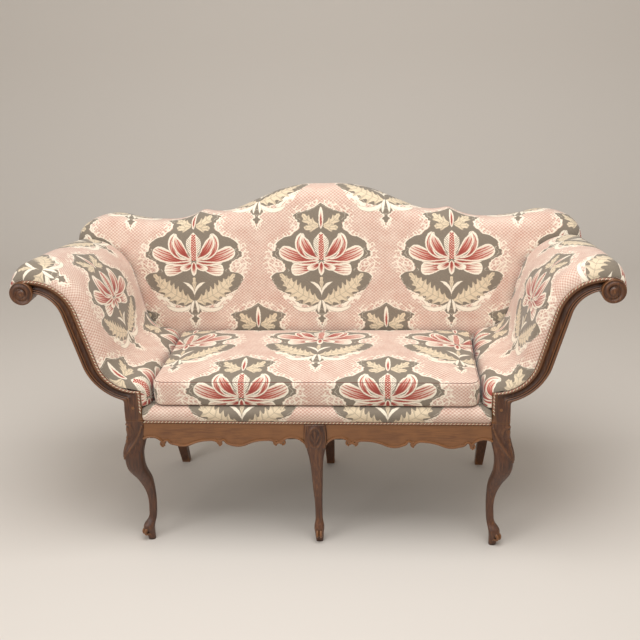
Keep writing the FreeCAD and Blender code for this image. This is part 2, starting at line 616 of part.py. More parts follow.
def arm_gimp():
    """The braid over the cover's edge, on the scroll's face."""
    foot, top = LEG_TOP + GIMP_RISE, SCROLL_Z + GIMP_LAP
    path = Outline((SEAT_HALF, foot)).to((SEAT_HALF, top)).to((SEAT_HALF + SCROLL_START, top))
    upper, lower = arm_line(SCROLL_RUN, GIMP_LAP, 0), arm_line(SCROLL_RUN, GIMP_LAP - GIMP_WIDTH, 0)
    for middle, end in upper.steps:
        path.step(middle, end)
    path.back_along(lower).to((SEAT_HALF + GIMP_WIDTH, lower.start[1])).to((SEAT_HALF + GIMP_WIDTH, foot))
    braid = prism(path, upright_plane(FRONT - GIMP_THICK), (0, GIMP_THICK, 0))
    x, z = volute_centre(SCROLL_RUN)
    return braid.cut(Part.makeCylinder(VOLUTE_RADIUS, 2 * GIMP_THICK, Vector(x, FRONT - 2 * GIMP_THICK, z),
                                       Vector(0, 1, 0)))


def drawn_share(inset):
    """The share of its width that the back keeps, drawn in by this inset at the ear."""
    return 1 - inset / ear()[0]


def drawn_in(point, inset):
    """Move a point of the back's outline towards the middle of the back."""
    x, z = point
    return (x * drawn_share(inset), BACK_MIDDLE + (z - BACK_MIDDLE) * (1 - inset / (CREST_TOP - BACK_MIDDLE)))


def crest_half():
    """Steps of the crest from its middle to the ear's outermost point."""
    return [CREST_HUMP[1:], (None, CREST_SLOPE), CREST_VALLEY, CREST_FALL, CREST_SADDLE,
            tuple(ear(*point) for point in CREST_EAR), (ear(*CREST_END), ear())]


def side_half():
    """Steps of the back's side, from the ear round the arm's roll and down the arm's outer line."""
    run = run_at(back_y(BACK_MIDDLE))
    under = under_line(run, CLOTH + SEAM_EASE)
    roll = volute_centre(run)
    radius = VOLUTE_RADIUS + ROLL_PAD
    steps = [(polar(roll, radius, EAR_ROLL), polar(roll, radius, EAR_ROLL_END))]
    foot, lower, upper = under.start, under.steps[0][1], under.steps[1][1]
    neck = SCROLL_TOP_RADIUS - BAND_TOP + CLOTH + SEAM_EASE
    steps.append((polar(top_centre(run), neck, SIDE_NECK), upper))
    steps.append((None, lower))
    steps.append((under.steps[0][0], foot))
    return steps


def back_outline(inset, bottom):
    """The back's outline, drawn in by the inset, down to a level edge."""
    path = Outline(drawn_in(CREST_HUMP[0], inset))
    for middle, end in crest_half() + side_half():
        path.step(middle and drawn_in(middle, inset), drawn_in(end, inset))
    path.to(((BLOCK_OUT - CLOTH - SEAM_EASE) * drawn_share(inset), bottom + inset))
    right = list(path.steps)
    ends = [path.start] + [end for _, end in right]
    path.to((-path.point[0], path.point[1]))
    for (middle, _), end in zip(reversed(right), reversed(ends[:-1])):
        path.step(middle and (-middle[0], middle[1]), (-end[0], end[1]))
    return path


def back_pad(arm_frames):
    """The stuffed back with its cover, rounded in front, with a pocket for the frame."""
    base = DECK_TOP + FIT
    stations = ((-BACK_PAD - BACK_CROWN, BACK_CROWN_IN), (-BACK_PAD, BACK_EDGE),
                (-BACK_PAD + BACK_EDGE, BACK_FRONT_IN), (0.0, 0.0), (BACK_FRAME, BACK_REAR_IN))
    wires = [back_outline(inset, base).wire(back_plane(depth)) for depth, inset in stations]
    pad = Part.makeLoft(wires, True, True)
    deep = 2 * WEBBING + HESSIAN + FIT
    pocket = prism(back_outline(BACK_POCKET, RAIL_TOP), back_plane(-deep), (0, deep + BACK_FRAME + CLOTH, 0))
    return pad.cut([pocket] + arm_frames)


def back_sheet(inset, bottom, depth, thick):
    return prism(back_outline(inset, bottom), back_plane(depth), (0, thick, 0))


def back_panel(low_x, high_x, low, high, depth=0.0, thick=BACK_FRAME):
    """A flat piece of the leaning back, square to it, between two heights."""
    path = Outline((low_x, low)).to((high_x, low)).to((high_x, high)).to((low_x, high))
    return prism(path, back_plane(depth), (0, thick, 0))


def back_upright():
    """One upright, from the rear leg to the crest board."""
    outer = REAR_LEG_OUT - UPRIGHT_INSET
    return back_panel(outer - UPRIGHT, outer, RAIL_TOP, CREST_FOOT)


def crest_board():
    """The shaped board along the top of the back, from ear to ear."""
    half = Outline(drawn_in(CREST_HUMP[0], BACK_POCKET + FIT))
    for middle, end in crest_half()[:-1]:
        half.step(middle and drawn_in(middle, BACK_POCKET + FIT), drawn_in(end, BACK_POCKET + FIT))
    low = CREST_FOOT
    half.to((half.point[0], low - EAR_DROP)).to((half.point[0] - EAR_LAP, low - EAR_DROP))
    half.to((half.point[0] - EAR_DROP, low)).to((0, low))
    board = prism(half, back_plane(0), (0, BACK_FRAME, 0))
    return board.fuse(mirrored(board)).removeSplitter()


def centre_post():
    return back_panel(-CENTRE_POST / 2, CENTRE_POST / 2, BACK_RAIL_FOOT + BACK_RAIL, CREST_FOOT)


def back_tacking_rail():
    """The rail between the uprights, just above the seat."""
    return back_panel(-UPRIGHT_INNER, UPRIGHT_INNER, BACK_RAIL_FOOT, BACK_RAIL_FOOT + BACK_RAIL)


def spaced(low, high, count):
    return [low + (i + 0.5) * (high - low) / count for i in range(count)]


def seat_webbing():
    """Crossed straps on top of the seat rails."""
    near, far = APRON_FACE + APRON_REBATE + WEB_TURN, REAR_RAIL_FACE + WEB_TURN
    side = SIDE_RAIL_IN + WEB_TURN
    half = WEB_WIDTH / 2
    straps = [box((x - half, near, RAIL_TOP), (x + half, far, RAIL_TOP + WEBBING))
              for x in spaced(-SEAT_HALF, SEAT_HALF, SEAT_STRAPS)]
    straps += [box((-side, y - half, RAIL_TOP + WEBBING), (side, y + half, RAIL_TOP + 2 * WEBBING))
               for y in spaced(FRONT + BLOCK, FRONT + FRAME_DEPTH - REAR_LEG, SEAT_CROSS_STRAPS)]
    return Part.makeCompound(straps)


def back_webbing():
    """Crossed straps over the front of the back frame."""
    half = WEB_WIDTH / 2
    side = SEAT_HALF - FIT
    low, high = BACK_RAIL_FOOT + BACK_RAIL / 2, CREST_FOOT + WEB_TURN
    straps = [back_panel(x - half, x + half, low, high, -WEBBING, WEBBING)
              for x in spaced(-UPRIGHT_INNER, UPRIGHT_INNER, BACK_STRAPS)]
    straps += [back_panel(-side, side, z - half, z + half, -2 * WEBBING, WEBBING)
               for z in spaced(low, high, BACK_CROSS_STRAPS)]
    return Part.makeCompound(straps)


def back_hessian():
    side = SEAT_HALF - FIT
    return back_panel(-side, side, BACK_RAIL_FOOT, CREST_FOOT + 2 * WEB_TURN, -2 * WEBBING - HESSIAN, HESSIAN)


def front_lip():
    """The stuffed front border, over the rebate of the apron and level with the deck."""
    z = APRON_TOP + FIT
    rebate = APRON_FACE + APRON_REBATE
    braid, front = FRONT + GIMP_THICK - LIP_BRAID, FRONT - LIP_BRAID
    path = Outline((rebate, z)).to((braid, z)).to((braid, z + GIMP_WIDTH)).to((front, z + GIMP_WIDTH))
    bulge = (z + DECK_TOP) / 2 + LIP_BULGE_RISE
    path.through((FRONT - LIP_BULGE, bulge), (FRONT + LIP_ROUND, DECK_TOP))
    rear = FRONT + LIP_DEPTH
    path.to((rear, DECK_TOP)).to((rear, SEAT_CANVAS)).to((rebate, SEAT_CANVAS))
    half = SEAT_HALF - FIT
    return prism(path, side_plane(-half), (2 * half, 0, 0))


def front_gimp():
    """The braid along the apron's top, over the lower edge of the border."""
    half = SEAT_HALF - FIT
    front = FRONT - LIP_BRAID
    return box((-half, front, APRON_TOP), (half, front + GIMP_THICK - FIT, APRON_TOP + GIMP_WIDTH))


def cushion_outline(z, inset):
    """A rectangle with round corners and sides that draw in between them; its back leans."""
    half = SEAT_HALF - ARM_FOOT - CUSHION_GAP - inset
    front = FRONT + inset
    rear = back_y(z, -BACK_PAD) - CUSHION_GAP - inset
    corner = max(CUSHION_CORNER - CUSHION_CORNER_LOSS * inset, CUSHION_LEAST_CORNER)
    nip = corner * (1 - math.sqrt(0.5))
    draw = CUSHION_DRAW_IN
    middle = (front + rear) / 2
    path = Outline((-half + corner, front)).through((0, front + draw / 2), (half - corner, front))
    path.through((half - nip, front + nip), (half, front + corner))
    path.through((half - draw, middle), (half, rear - corner))
    path.through((half - nip, rear - nip), (half - corner, rear))
    path.through((0, rear - draw), (-half + corner, rear))
    path.through((-half + nip, rear - nip), (-half, rear - corner))
    path.through((-half + draw, middle), (-half, front + corner))
    path.through((-half + nip, front + nip), (-half + corner, front))
    return path.wire(level_plane(z))


def cushion_body(inset):
    """The cushion: a border with a soft lower edge under a crowned top."""
    low = DECK_TOP + FIT
    seam = low + CUSHION_SIDE
    rows = [(low + rise + inset, draw) for rise, draw in CUSHION_FOOT]
    rows += [(low + rise, draw) for rise, draw in CUSHION_BORDER]
    rows += [(seam + share * CUSHION_CROWN - inset, draw) for share, draw in CUSHION_TOP]
    return Part.makeLoft([cushion_outline(z, draw + inset) for z, draw in rows], True, True)


def corner_block(front):
    """A glued block in a corner of the seat frame, notched round the leg, and its screw's axis."""
    reach = CORNER_BLOCK
    if front:
        rail, leg_x, leg_y, way = APRON_FACE + RAIL_THICK, SEAT_HALF, FRONT + BLOCK, 1
    else:
        rail, leg_x, leg_y, way = REAR_RAIL_FACE, REAR_LEG_OUT - REAR_LEG, FRONT + FRAME_REAR - REAR_LEG, -1
    first = (leg_x - reach, rail)
    last = (SIDE_RAIL_IN, leg_y + way * reach)
    path = Outline(first).to((leg_x, rail)).to((leg_x, leg_y)).to((SIDE_RAIL_IN, leg_y)).to(last)
    z = RAIL_TOP - CORNER_BLOCK_DROP - CORNER_BLOCK_HEIGHT
    block = prism(path, level_plane(z), (0, 0, CORNER_BLOCK_HEIGHT))
    middle = Vector((first[0] + last[0]) / 2, (first[1] + last[1]) / 2, z + CORNER_BLOCK_HEIGHT / 2)
    across = Vector(last[1] - first[1], first[0] - last[0], 0) * way
    across.normalize()
    return block, screw(middle, across)


def screw(point, way):
    """A round-headed screw whose head lies on the point and whose shank goes along the way."""
    head = Part.makeCylinder(SCREW_HEAD / 2, SCREW_HEAD_HIGH, point - way * SCREW_HEAD_HIGH, way)
    return head.fuse(Part.makeCylinder(SCREW / 2, SCREW_LENGTH, point, way)).removeSplitter()


def dust_cover():
    """The black cloth under the seat, cut out round the legs."""
    z = RAIL_FOOT - HESSIAN
    side = REAR_LEG_OUT - HEM
    near, far = APRON_FACE + RAIL_THICK + FIT, FRONT + FRAME_REAR - HEM
    sheet = box((-side, near, z), (side, far, RAIL_FOOT))
    room = HESSIAN
    middle = MIDDLE_LEG / 2 + room
    notches = [box((-middle, near, z), (middle, FRONT + MIDDLE_DEPTH + room, RAIL_FOOT))]
    notches.append(box((-REAR_LEG / 2 - room, FRONT + FRAME_REAR - REAR_LEG - room, z),
                       (REAR_LEG / 2 + room, far, RAIL_FOOT)))
    for inner, low, high in ((SEAT_HALF - KNEE_IN, near, FRONT + BLOCK + KNEE_IN),
                             (REAR_LEG_OUT - REAR_LEG - room, FRONT + FRAME_REAR - REAR_LEG - room, far)):
        notch = box((inner, low, z), (side, high, RAIL_FOOT))
        notches += [notch, mirrored(notch)]
    return sheet.cut(notches)


def cover_tacks():
    """Round-headed tacks along the hem of the dust cover, driven up into the rails."""
    inset = RAIL_THICK / 2
    half = SEAT_HALF - REAR_LEG
    rows = [(x, REAR_RAIL_FACE + inset) for x in spaced(-half, half, REAR_TACKS)]
    rows += [(side * (SIDE_RAIL_IN + inset), y) for side in (-1, 1)
             for y in spaced(FRONT + BLOCK, FRONT + FRAME_REAR - REAR_LEG, SIDE_TACKS)]
    z = RAIL_FOOT - HESSIAN
    up = Vector(0, 0, 1)
    tacks = []
    for x, y in rows:
        head = Part.makeCylinder(TACK_HEAD / 2, TACK_HEAD_HIGH, Vector(x, y, z - TACK_HEAD_HIGH), up)
        shank = Part.makeCylinder(TACK_SHANK / 2, TACK_LENGTH, Vector(x, y, z), up)
        tacks.append(head.fuse(shank).removeSplitter())
    return Part.makeCompound(tacks)


def main():
    leg = front_corner_leg()
    middle = middle_front_leg()
    corner_leg = rear_leg(REAR_LEG_OUT - REAR_LEG / 2, RAIL_TOP, REAR_FOOT_IN)
    front_block, front_screw = corner_block(True)
    rear_block, rear_screw = corner_block(False)
    apron = front_apron([leg, middle])
    keep_pair("front_leg", leg.cut(front_screw))
    keep("front_leg_middle", middle)
    keep_pair("front_apron", apron)
    keep_pair("rear_leg", corner_leg.cut(rear_screw))
    keep("rear_leg_middle", rear_leg(0.0, RAIL_FOOT))
    tacks = cover_tacks()
    side_end = FRONT + FRAME_REAR - REAR_LEG
    side_rail = box((SIDE_RAIL_IN, FRONT + BLOCK, RAIL_FOOT), (REAR_LEG_OUT, side_end, RAIL_TOP))
    keep_pair("side_rail", side_rail.cut([leg, tacks]))
    rear_half = REAR_LEG_OUT - REAR_LEG
    rear_rail = box((-rear_half, REAR_RAIL_FACE, RAIL_FOOT), (rear_half, FRONT + FRAME_REAR, RAIL_TOP))
    keep("rear_rail", rear_rail.cut(tacks))
    keep("dust_cover", dust_cover().cut(tacks))
    keep("cover_tacks", tacks)
    keep("cross_rail", box((-CROSS_RAIL / 2, FRONT + MIDDLE_DEPTH, RAIL_TOP - CROSS_RAIL_HEIGHT),
                           (CROSS_RAIL / 2, REAR_RAIL_FACE, RAIL_TOP)))
    keep_pair("front_corner_block", front_block.cut([leg, front_screw]))
    keep_pair("rear_corner_block", rear_block.cut(rear_screw))
    screws = [front_screw, rear_screw]
    keep("corner_screws", Part.makeCompound(screws + [mirrored(screw) for screw in screws]))

    peg_end = Vector(SEAT_HALF + BLOCK / 2, FRONT - PEG_PROUD, LEG_TOP + PEG_RISE)
    peg = Part.makeCylinder(PEG / 2, PEG_LENGTH, peg_end, Vector(0, 1, 0))
    keep_pair("arm_scroll", arm_scroll().cut(peg))
    keep("joint_pegs", Part.makeCompound([peg, mirrored(peg)]))
    arm_frames = [arm_rear_board(), arm_top_rail(), arm_tacking_rail()]
    keep_pair("arm_rear_board", arm_frames[0])
    keep_pair("arm_top_rail", arm_frames[1])
    keep_pair("arm_tacking_rail", arm_frames[2])
    keep_pair("arm_hessian", arm_hessian())
    keep_pair("arm_gimp", arm_gimp())

    pad = back_pad(arm_frames + [mirrored(shape) for shape in arm_frames])
    keep("back_pad", pad)
    keep_pair("arm_pad", largest(arm_pad().cut(pad)))
    keep_pair("arm_outside_cover", largest(arm_outside_cover().cut(pad)))
    keep_pair("back_upright", back_upright())
    keep("crest_board", crest_board())
    keep("back_centre_post", centre_post())
    keep("back_tacking_rail", back_tacking_rail())
    keep("back_webbing", back_webbing())
    keep("back_hessian", back_hessian())
    keep("outside_back", back_sheet(BACK_SHEET_INSET, APRON_TOP, BACK_FRAME + FIT, CLOTH))

    keep("seat_webbing", seat_webbing())
    deck = SEAT_HALF - FIT
    rear = FRONT + FRAME_DEPTH - DECK_EASE
    keep("seat_hessian", box((-deck, FRONT + BLOCK / 2, RAIL_TOP + 2 * WEBBING), (deck, rear, SEAT_CANVAS)))
    front = FRONT + LIP_DEPTH + FIT
    keep("seat_stuffing", box((-deck, front, SEAT_CANVAS), (deck, rear, DECK_TOP - DECK_CLOTH)))
    keep("deck_cover", box((-deck, front, DECK_TOP - DECK_CLOTH), (deck, rear, DECK_TOP)))
    keep("front_lip", front_lip())
    keep("front_gimp", front_gimp())

    skin = cushion_body(0.0)
    keep("cushion_cover", skin.cut(cushion_body(CUSHION_COVER)))
    keep("cushion_filling", cushion_body(CUSHION_COVER + FIT))
    os.makedirs("parts", exist_ok=True)
    for name, shape in PIECES.items():
        if not shape.isValid():
            print("not valid:", name)
        b = shape.optimalBoundingBox()
        print("%-24s %2d solids %9.1f cm3  x %.0f %.0f y %.0f %.0f z %.0f %.0f" % (
            name, len(shape.Solids), shape.Volume / 1000, b.XMin, b.XMax, b.YMin, b.YMax, b.ZMin, b.ZMax))
        shape.exportStep("parts/" + name + ".step")


main()
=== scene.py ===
"""Looks of a camelback settee: damask covers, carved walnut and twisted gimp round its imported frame.

Lengths are in metres unless a name says otherwise.  X runs across the settee, Y to the back, Z up.
The right-hand side is drawn, and the left-hand side is its mirror image.
"""
import ast
import json
import math

import bmesh
import bpy
import numpy as np
from mathutils import Matrix, Vector
from mathutils.geometry import delaunay_2d_cdt


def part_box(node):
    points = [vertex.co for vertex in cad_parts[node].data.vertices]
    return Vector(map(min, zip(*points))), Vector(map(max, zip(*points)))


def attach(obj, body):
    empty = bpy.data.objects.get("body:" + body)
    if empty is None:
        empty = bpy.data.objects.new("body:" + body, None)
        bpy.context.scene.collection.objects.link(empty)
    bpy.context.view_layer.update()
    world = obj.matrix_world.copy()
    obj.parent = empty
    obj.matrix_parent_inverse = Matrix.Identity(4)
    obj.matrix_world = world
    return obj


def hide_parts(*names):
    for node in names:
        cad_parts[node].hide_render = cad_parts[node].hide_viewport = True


bl_info = {
    "name": "Camelback settee",
    "version": (1, 0, 0),
    "blender": (4, 5, 0),
    "location": "3D View > Sidebar > Settee",
    "description": "Makes the covers, the carving and the braid of a camelback settee round its frame",
    "category": "Add Mesh",
}

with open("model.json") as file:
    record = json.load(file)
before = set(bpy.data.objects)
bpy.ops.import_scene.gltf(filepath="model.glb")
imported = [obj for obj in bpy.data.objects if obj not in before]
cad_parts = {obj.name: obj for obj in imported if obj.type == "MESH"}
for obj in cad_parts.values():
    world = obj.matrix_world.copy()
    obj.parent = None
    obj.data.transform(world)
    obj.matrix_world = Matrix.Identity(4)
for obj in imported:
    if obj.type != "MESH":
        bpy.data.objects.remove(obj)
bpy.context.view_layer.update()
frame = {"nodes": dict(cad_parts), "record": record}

# Planes and heights that the frame gives
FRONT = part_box("cushion_cover")[0].y            # front plane of the seat
DECK_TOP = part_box("deck_cover")[1].z
LEG_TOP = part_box("front_leg_right")[1].z
APRON_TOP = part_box("front_gimp")[0].z
APRON_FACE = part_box("front_apron_right")[0].y
CLEAR = 0.0003                  # gap between stuffed pieces that rest on each other
COVER_THICK = 0.0012            # thickness of an outside cover's cloth

# Front frame
SEAT_HALF = 0.503               # from the middle to a front block
BLOCK = 0.053
BLOCK_OUT = SEAT_HALF + BLOCK
MIDDLE_LEG = 0.071
APRON_THICK = 0.028

# Arm scroll: its lower arc, straight and upper arc, and the volute under its end; angles are in degrees
SCROLL_START = 0.012
SCROLL_Z = LEG_TOP + 0.096
SCROLL_RADIUS = 0.111
SCROLL_LEAN = 74.0
SCROLL_RUN = 0.165
SCROLL_TOP = 0.131
SCROLL_OVER = 13.0
VOLUTE = 0.033
VOLUTE_PROUD = 0.012
VOLUTE_EYE = 0.011
BOARD = 0.045                   # depth of the board from front to back
BAND_LOW, BAND_RUN, BAND_TOP = 0.038, 0.046, 0.043      # width of its face on the arcs and the straight
ARM_FALL = 0.055                # how much lower the arm is at the back
# Relief across its face: share of the width from the cover to the outer edge, and depth behind the front
BOARD_RELIEF = ((0.0, 0.0), (0.26, 0.0), (0.30, 0.0012), (0.36, 0.0042), (0.44, 0.0062), (0.54, 0.0068),
                (0.63, 0.0056), (0.68, 0.0030), (0.70, 0.0008), (0.735, 0.0008), (0.75, 0.0024),
                (0.775, 0.0024), (0.79, 0.0006), (0.84, -0.0010), (0.90, -0.0012), (0.95, 0.0004),
                (0.985, 0.0034), (1.0, 0.0080))
BOARD_CARVING = 1.4             # how much deeper than that it is cut
BRAID_OUT = 0.0016              # middle of an arm's braid, in front of the board
BRAID_IN = 0.0012               # middle of the apron's braid, behind the front of the frame's gimp

# Legs, from the foot up.  Corner leg: height, way out along each side, width, and how round the corners are
CORNER_LEG = ((0.0, -0.010, 0.022, 0.75), (0.025, -0.008, 0.026, 0.75), (0.050, -0.006, 0.034, 0.75),
              (0.070, -0.015, 0.025, 0.75), (0.105, -0.019, 0.023, 0.75), (0.165, -0.017, 0.028, 0.75),
              (0.208, -0.008, 0.040, 0.72), (0.258, 0.010, 0.053, 0.70), (0.298, 0.013, 0.055, 0.66),
              (0.362, 0.000, 0.052, 0.35), (0.397, 0.000, 0.053, 0.16), (LEG_TOP, 0.000, 0.053, 0.12))
# Middle leg: height, depth of its middle behind the front, width and depth
MIDDLE_LEG_ROWS = ((0.0, 0.041, 0.022, 0.020), (0.025, 0.038, 0.026, 0.024), (0.052, 0.036, 0.030, 0.030),
                   (0.072, 0.041, 0.023, 0.022), (0.100, 0.043, 0.022, 0.022), (0.190, 0.032, 0.029, 0.030),
                   (0.292, 0.020, 0.043, 0.046), (0.352, 0.020, 0.067, 0.050),
                   (APRON_TOP, 0.025, MIDDLE_LEG, 0.050))
PANEL_FOOT = 0.318              # where the middle leg's carved head starts

# The apron's lower edge from the middle leg outwards, as a share of the bay and a height: an arc has a
# middle point and an end, and a straight has None and an end
APRON_START = (-0.02, 0.324)
APRON_EDGE = (((0.014, 0.351), (0.078, 0.360)), ((0.116, 0.353), (0.132, 0.336)),
              ((0.150, 0.343), (0.168, 0.335)), ((0.186, 0.347), (0.222, 0.351)),
              ((0.290, 0.348), (0.343, 0.340)), ((0.405, 0.331), (0.470, 0.337)),
              ((0.497, 0.346), (0.503, 0.352)), (None, (0.532, 0.332)),
              ((0.546, 0.344), (0.588, 0.349)), ((0.662, 0.344), (0.712, 0.335)),
              ((0.760, 0.330), (0.815, 0.335)), ((0.855, 0.343), (0.863, 0.350)),
              (None, (0.887, 0.327)), ((0.904, 0.347), (0.964, 0.359)), ((1.012, 0.350), (1.036, 0.334)))
# Its cusps, and the way that each one's little scroll rolls
APRON_CUSPS = (((0.132, 0.336), -1), ((0.168, 0.335), 1), ((0.532, 0.332), -1), ((0.887, 0.327), 1))

# Stuffing
ARM_PAD, ARM_CROWN, ARM_FOOT = 0.034, 0.044, 0.025      # depth of an arm's stuffing over, beside and low down
ROLL_PAD = 0.003                # and round the volute
ROLL_END = 60.0                 # angle under the roll where the stuffing ends
COVER_START = 0.0008            # front edge of an arm's cover, behind the board's front
BACK_SLOPE = 0.20               # how far the back leans for each metre up
BACK_FRONT = FRONT + 0.498      # front of the back's frame, at the apron's top
BACK_PAD, BACK_FRAME = 0.062, 0.026                     # depth of the back's stuffing, and of its frame
BACK_MIDDLE = 0.700             # height at which the arms meet the back
# Crest from its top to an ear, across and up, in the same form as the apron's edge
EAR = (0.826, 0.815)
CREST = (((0.096, 0.979), (0.175, 0.958)), (None, (0.282, 0.913)), ((0.345, 0.899), (0.403, 0.908)),
         ((0.444, 0.887), (0.505, 0.875)), ((0.575, 0.877), (0.640, 0.886)),
         ((0.722, 0.896), (0.792, 0.873)), ((0.817, 0.849), EAR))
CREST_TOP = 0.984
BACK_EASE = 0.0055              # room between the back's side and the arm's outer edge
# Rings of the back's rounded edge, from behind to the front: how far in, and depth behind the frame's front
BACK_RINGS = ((0.002, BACK_FRAME), (0.0005, 0.012), (0.0, -0.004), (0.0, -0.018), (0.0015, -0.030),
              (0.0048, -0.0405), (0.0105, -0.0490), (0.0185, -0.0555), (0.029, -0.0600), (0.042, -0.0630))
BACK_SWELL, BACK_SWELL_RUN = 0.0085, 0.075              # crown of the back, and how soon it is reached
BORDER_DEEP, BORDER_KEEP = 0.045, 0.90                  # depth of the front border, and share at its ends
SEAM_RISE = 0.072               # the cushion's upper seam over its foot
CUSHION_CROWN, CUSHION_INSET, CUSHION_CORNER = 0.024, 0.004, 0.034      # corner is a radius
CUSHION_GRID = (96, 46)         # columns and rows of its top
BORDER_ROWS = 8                 # rows of its border
SEAM_SUNK, SEAM_SHADOW_RADIUS = 0.0040, 0.0011                 # how far a seam sinks in, and the radius of the dark tube that paints the shadow in each seam

# Places on the flat cloth, measured from the middle of a flower
ARM_FLOWER = {"left": (0.350, 0.225), "right": (0.350, 0.170)}      # flower up each arm and in from its front
BACK_FLOWER = (0.009, 0.760)                            # flower beside the middle of the back, and its height
CUSHION_CLOTH = -0.279          # front top edge of the cushion

# Filling's pressure on the cushion's cover, for how many frames, and the most that a point moves
FILLING_PRESSURE, FILLING_FRAMES, FILLING_CAP = 4.0, 20, 0.010


def polar(centre, radius, angle):
    """The point at a distance and an angle from a centre."""
    return (centre[0] + radius * math.cos(math.radians(angle)),
            centre[1] + radius * math.sin(math.radians(angle)))


def back_y(z, depth=0.0):
    """Y of the leaning back at a height, with the depth counted from the front of its frame."""
    return BACK_FRONT + BACK_SLOPE * (z - APRON_TOP) + depth


class Path:
    """A flat line of runs and arcs, kept as points that each step spreads evenly."""

    def __init__(self, start, heading=0.0):
        self.points = [start]
        self.heading = heading

    def to(self, end, count=1):
        """Go straight to a point."""
        start = self.points[-1]
        self.heading = math.degrees(math.atan2(end[1] - start[1], end[0] - start[0]))
        self.points += [tuple(a + (b - a) * k / count for a, b in zip(start, end))
                        for k in range(1, count + 1)]
        return self

    def run(self, length, count=1):
        """Go on straight for a length."""
        return self.to(polar(self.points[-1], length, self.heading), count)

    def bend(self, radius, turn, count=8):
        """Follow an arc that is tangent to the heading; a positive turn goes to the left."""
        side = math.copysign(90.0, turn)
        centre = polar(self.points[-1], radius, self.heading + side)
        first = self.heading - side
        self.points += [polar(centre, radius, first + turn * k / count) for k in range(1, count + 1)]
        self.heading += turn
        return self

    def through(self, middle, end, count=8):
        """Follow the arc through a middle point."""
        a, b, c = (complex(*point) for point in (self.points[-1], middle, end))
        w = (c - a) / (b - a)
        centre = a + (b - a) * (w - abs(w) ** 2) / (2j * w.imag)
        sweep = np.angle((c - centre) / (a - centre))
        half = np.angle((b - centre) / (a - centre))
        if sweep * half < 0 or abs(half) > abs(sweep):
            sweep -= math.copysign(2 * math.pi, sweep)
        for k in range(1, count + 1):
            spot = centre + (a - centre) * np.exp(1j * sweep * k / count)
            self.points.append((spot.real, spot.imag))
        return self


def evened(points, spacing=None, count=None):
    """The same line with points at an even distance."""
    points = np.array(points, float)
    steps = np.hypot(*np.diff(points[:, :2], axis=0).T) if points.shape[1] == 2 else \
        np.linalg.norm(np.diff(points, axis=0), axis=1)
    along = np.concatenate([[0.0], np.cumsum(steps)])
    count = count or max(2, int(round(along[-1] / spacing)) + 1)
    spots = np.linspace(0, along[-1], count)
    return np.stack([np.interp(spots, along, points[:, k]) for k in range(points.shape[1])], axis=1)


def lengths(points):
    """Distance of each point from the first, along the line."""
    steps = np.linalg.norm(np.diff(points, axis=0), axis=1)
    return np.concatenate([[0.0], np.cumsum(steps)])


def softened(points, passes):
    """Round the corners of an open line a little, with its ends kept."""
    points = np.array(points, float)
    for _ in range(passes):
        points[1:-1] = 0.25 * points[:-2] + 0.5 * points[1:-1] + 0.25 * points[2:]
    return points


def quads(rows, columns, around=False, first=0):
    """Faces of a grid whose points are listed row by row."""
    reach = columns if around else columns - 1
    return [(first + r * columns + c, first + r * columns + (c + 1) % columns,
             first + (r + 1) * columns + (c + 1) % columns, first + (r + 1) * columns + c)
            for r in range(rows - 1) for c in range(reach)]


def bar(rows, columns):
    """Faces of a closed bar: a grid round its line, and its two ends."""
    ends = [tuple(range(columns)), tuple(range((rows - 1) * columns, rows * columns))]
    return quads(rows, columns, True) + ends


def rim(rows, columns):
    """Places of a grid's outermost points, in order round it."""
    spots = [(0, c) for c in range(columns)] + [(r, columns - 1) for r in range(1, rows)]
    spots += [(rows - 1, c) for c in range(columns - 2, -1, -1)] + [(r, 0) for r in range(rows - 2, 0, -1)]
    return np.array([r * columns + c for r, c in spots])


def band(upper, lower):
    """Faces between two closed lines of points."""
    return [(upper[i], lower[i], lower[(i + 1) % len(upper)], upper[(i + 1) % len(upper)])
            for i in range(len(upper))]


def build(name, points, faces, cloth=None, flip=False):
    """A smooth mesh object; cloth holds each point's place on the flat cloth, in metres."""
    points = np.array(points, float).reshape(-1, 3)
    if flip:
        points = points * (-1, 1, 1)
    mesh = bpy.data.meshes.new(name)
    mesh.from_pydata(points.tolist(), [], [tuple(int(i) for i in face) for face in faces])
    if cloth is not None:
        layer = mesh.uv_layers.new(name="cloth")
        corners = np.zeros(len(mesh.loops), np.int32)
        mesh.loops.foreach_get("vertex_index", corners)
        flat = np.array(cloth, float)
        flat = flat if len(flat) == len(corners) and len(flat) != len(points) else flat[corners]
        layer.data.foreach_set("uv", flat.astype(np.float32).ravel())
    work = bmesh.new()
    work.from_mesh(mesh)
    bmesh.ops.recalc_face_normals(work, faces=work.faces)
    work.to_mesh(mesh)
    work.free()
    mesh.polygons.foreach_set("use_smooth", [True] * len(mesh.polygons))
    piece = bpy.data.objects.new(name, mesh)
    bpy.context.scene.collection.objects.link(piece)
    return piece


def dress(piece, body, slot, material, *nodes):
    """Give a piece its finish and its body, and hide the nodes of the frame that it stands for."""
    piece.data.materials.clear()
    piece.data.materials.append(material)
    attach(piece, body)
    if nodes:
        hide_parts(*nodes)
    return piece


def joined(parts):
    """One mesh out of several (points, faces) pairs."""
    points, faces = [], []
    for part_points, part_faces in parts:
        first = len(points)
        points += [tuple(point) for point in np.array(part_points, float).reshape(-1, 3)]
        faces += [tuple(first + i for i in face) for face in part_faces]
    return points, faces


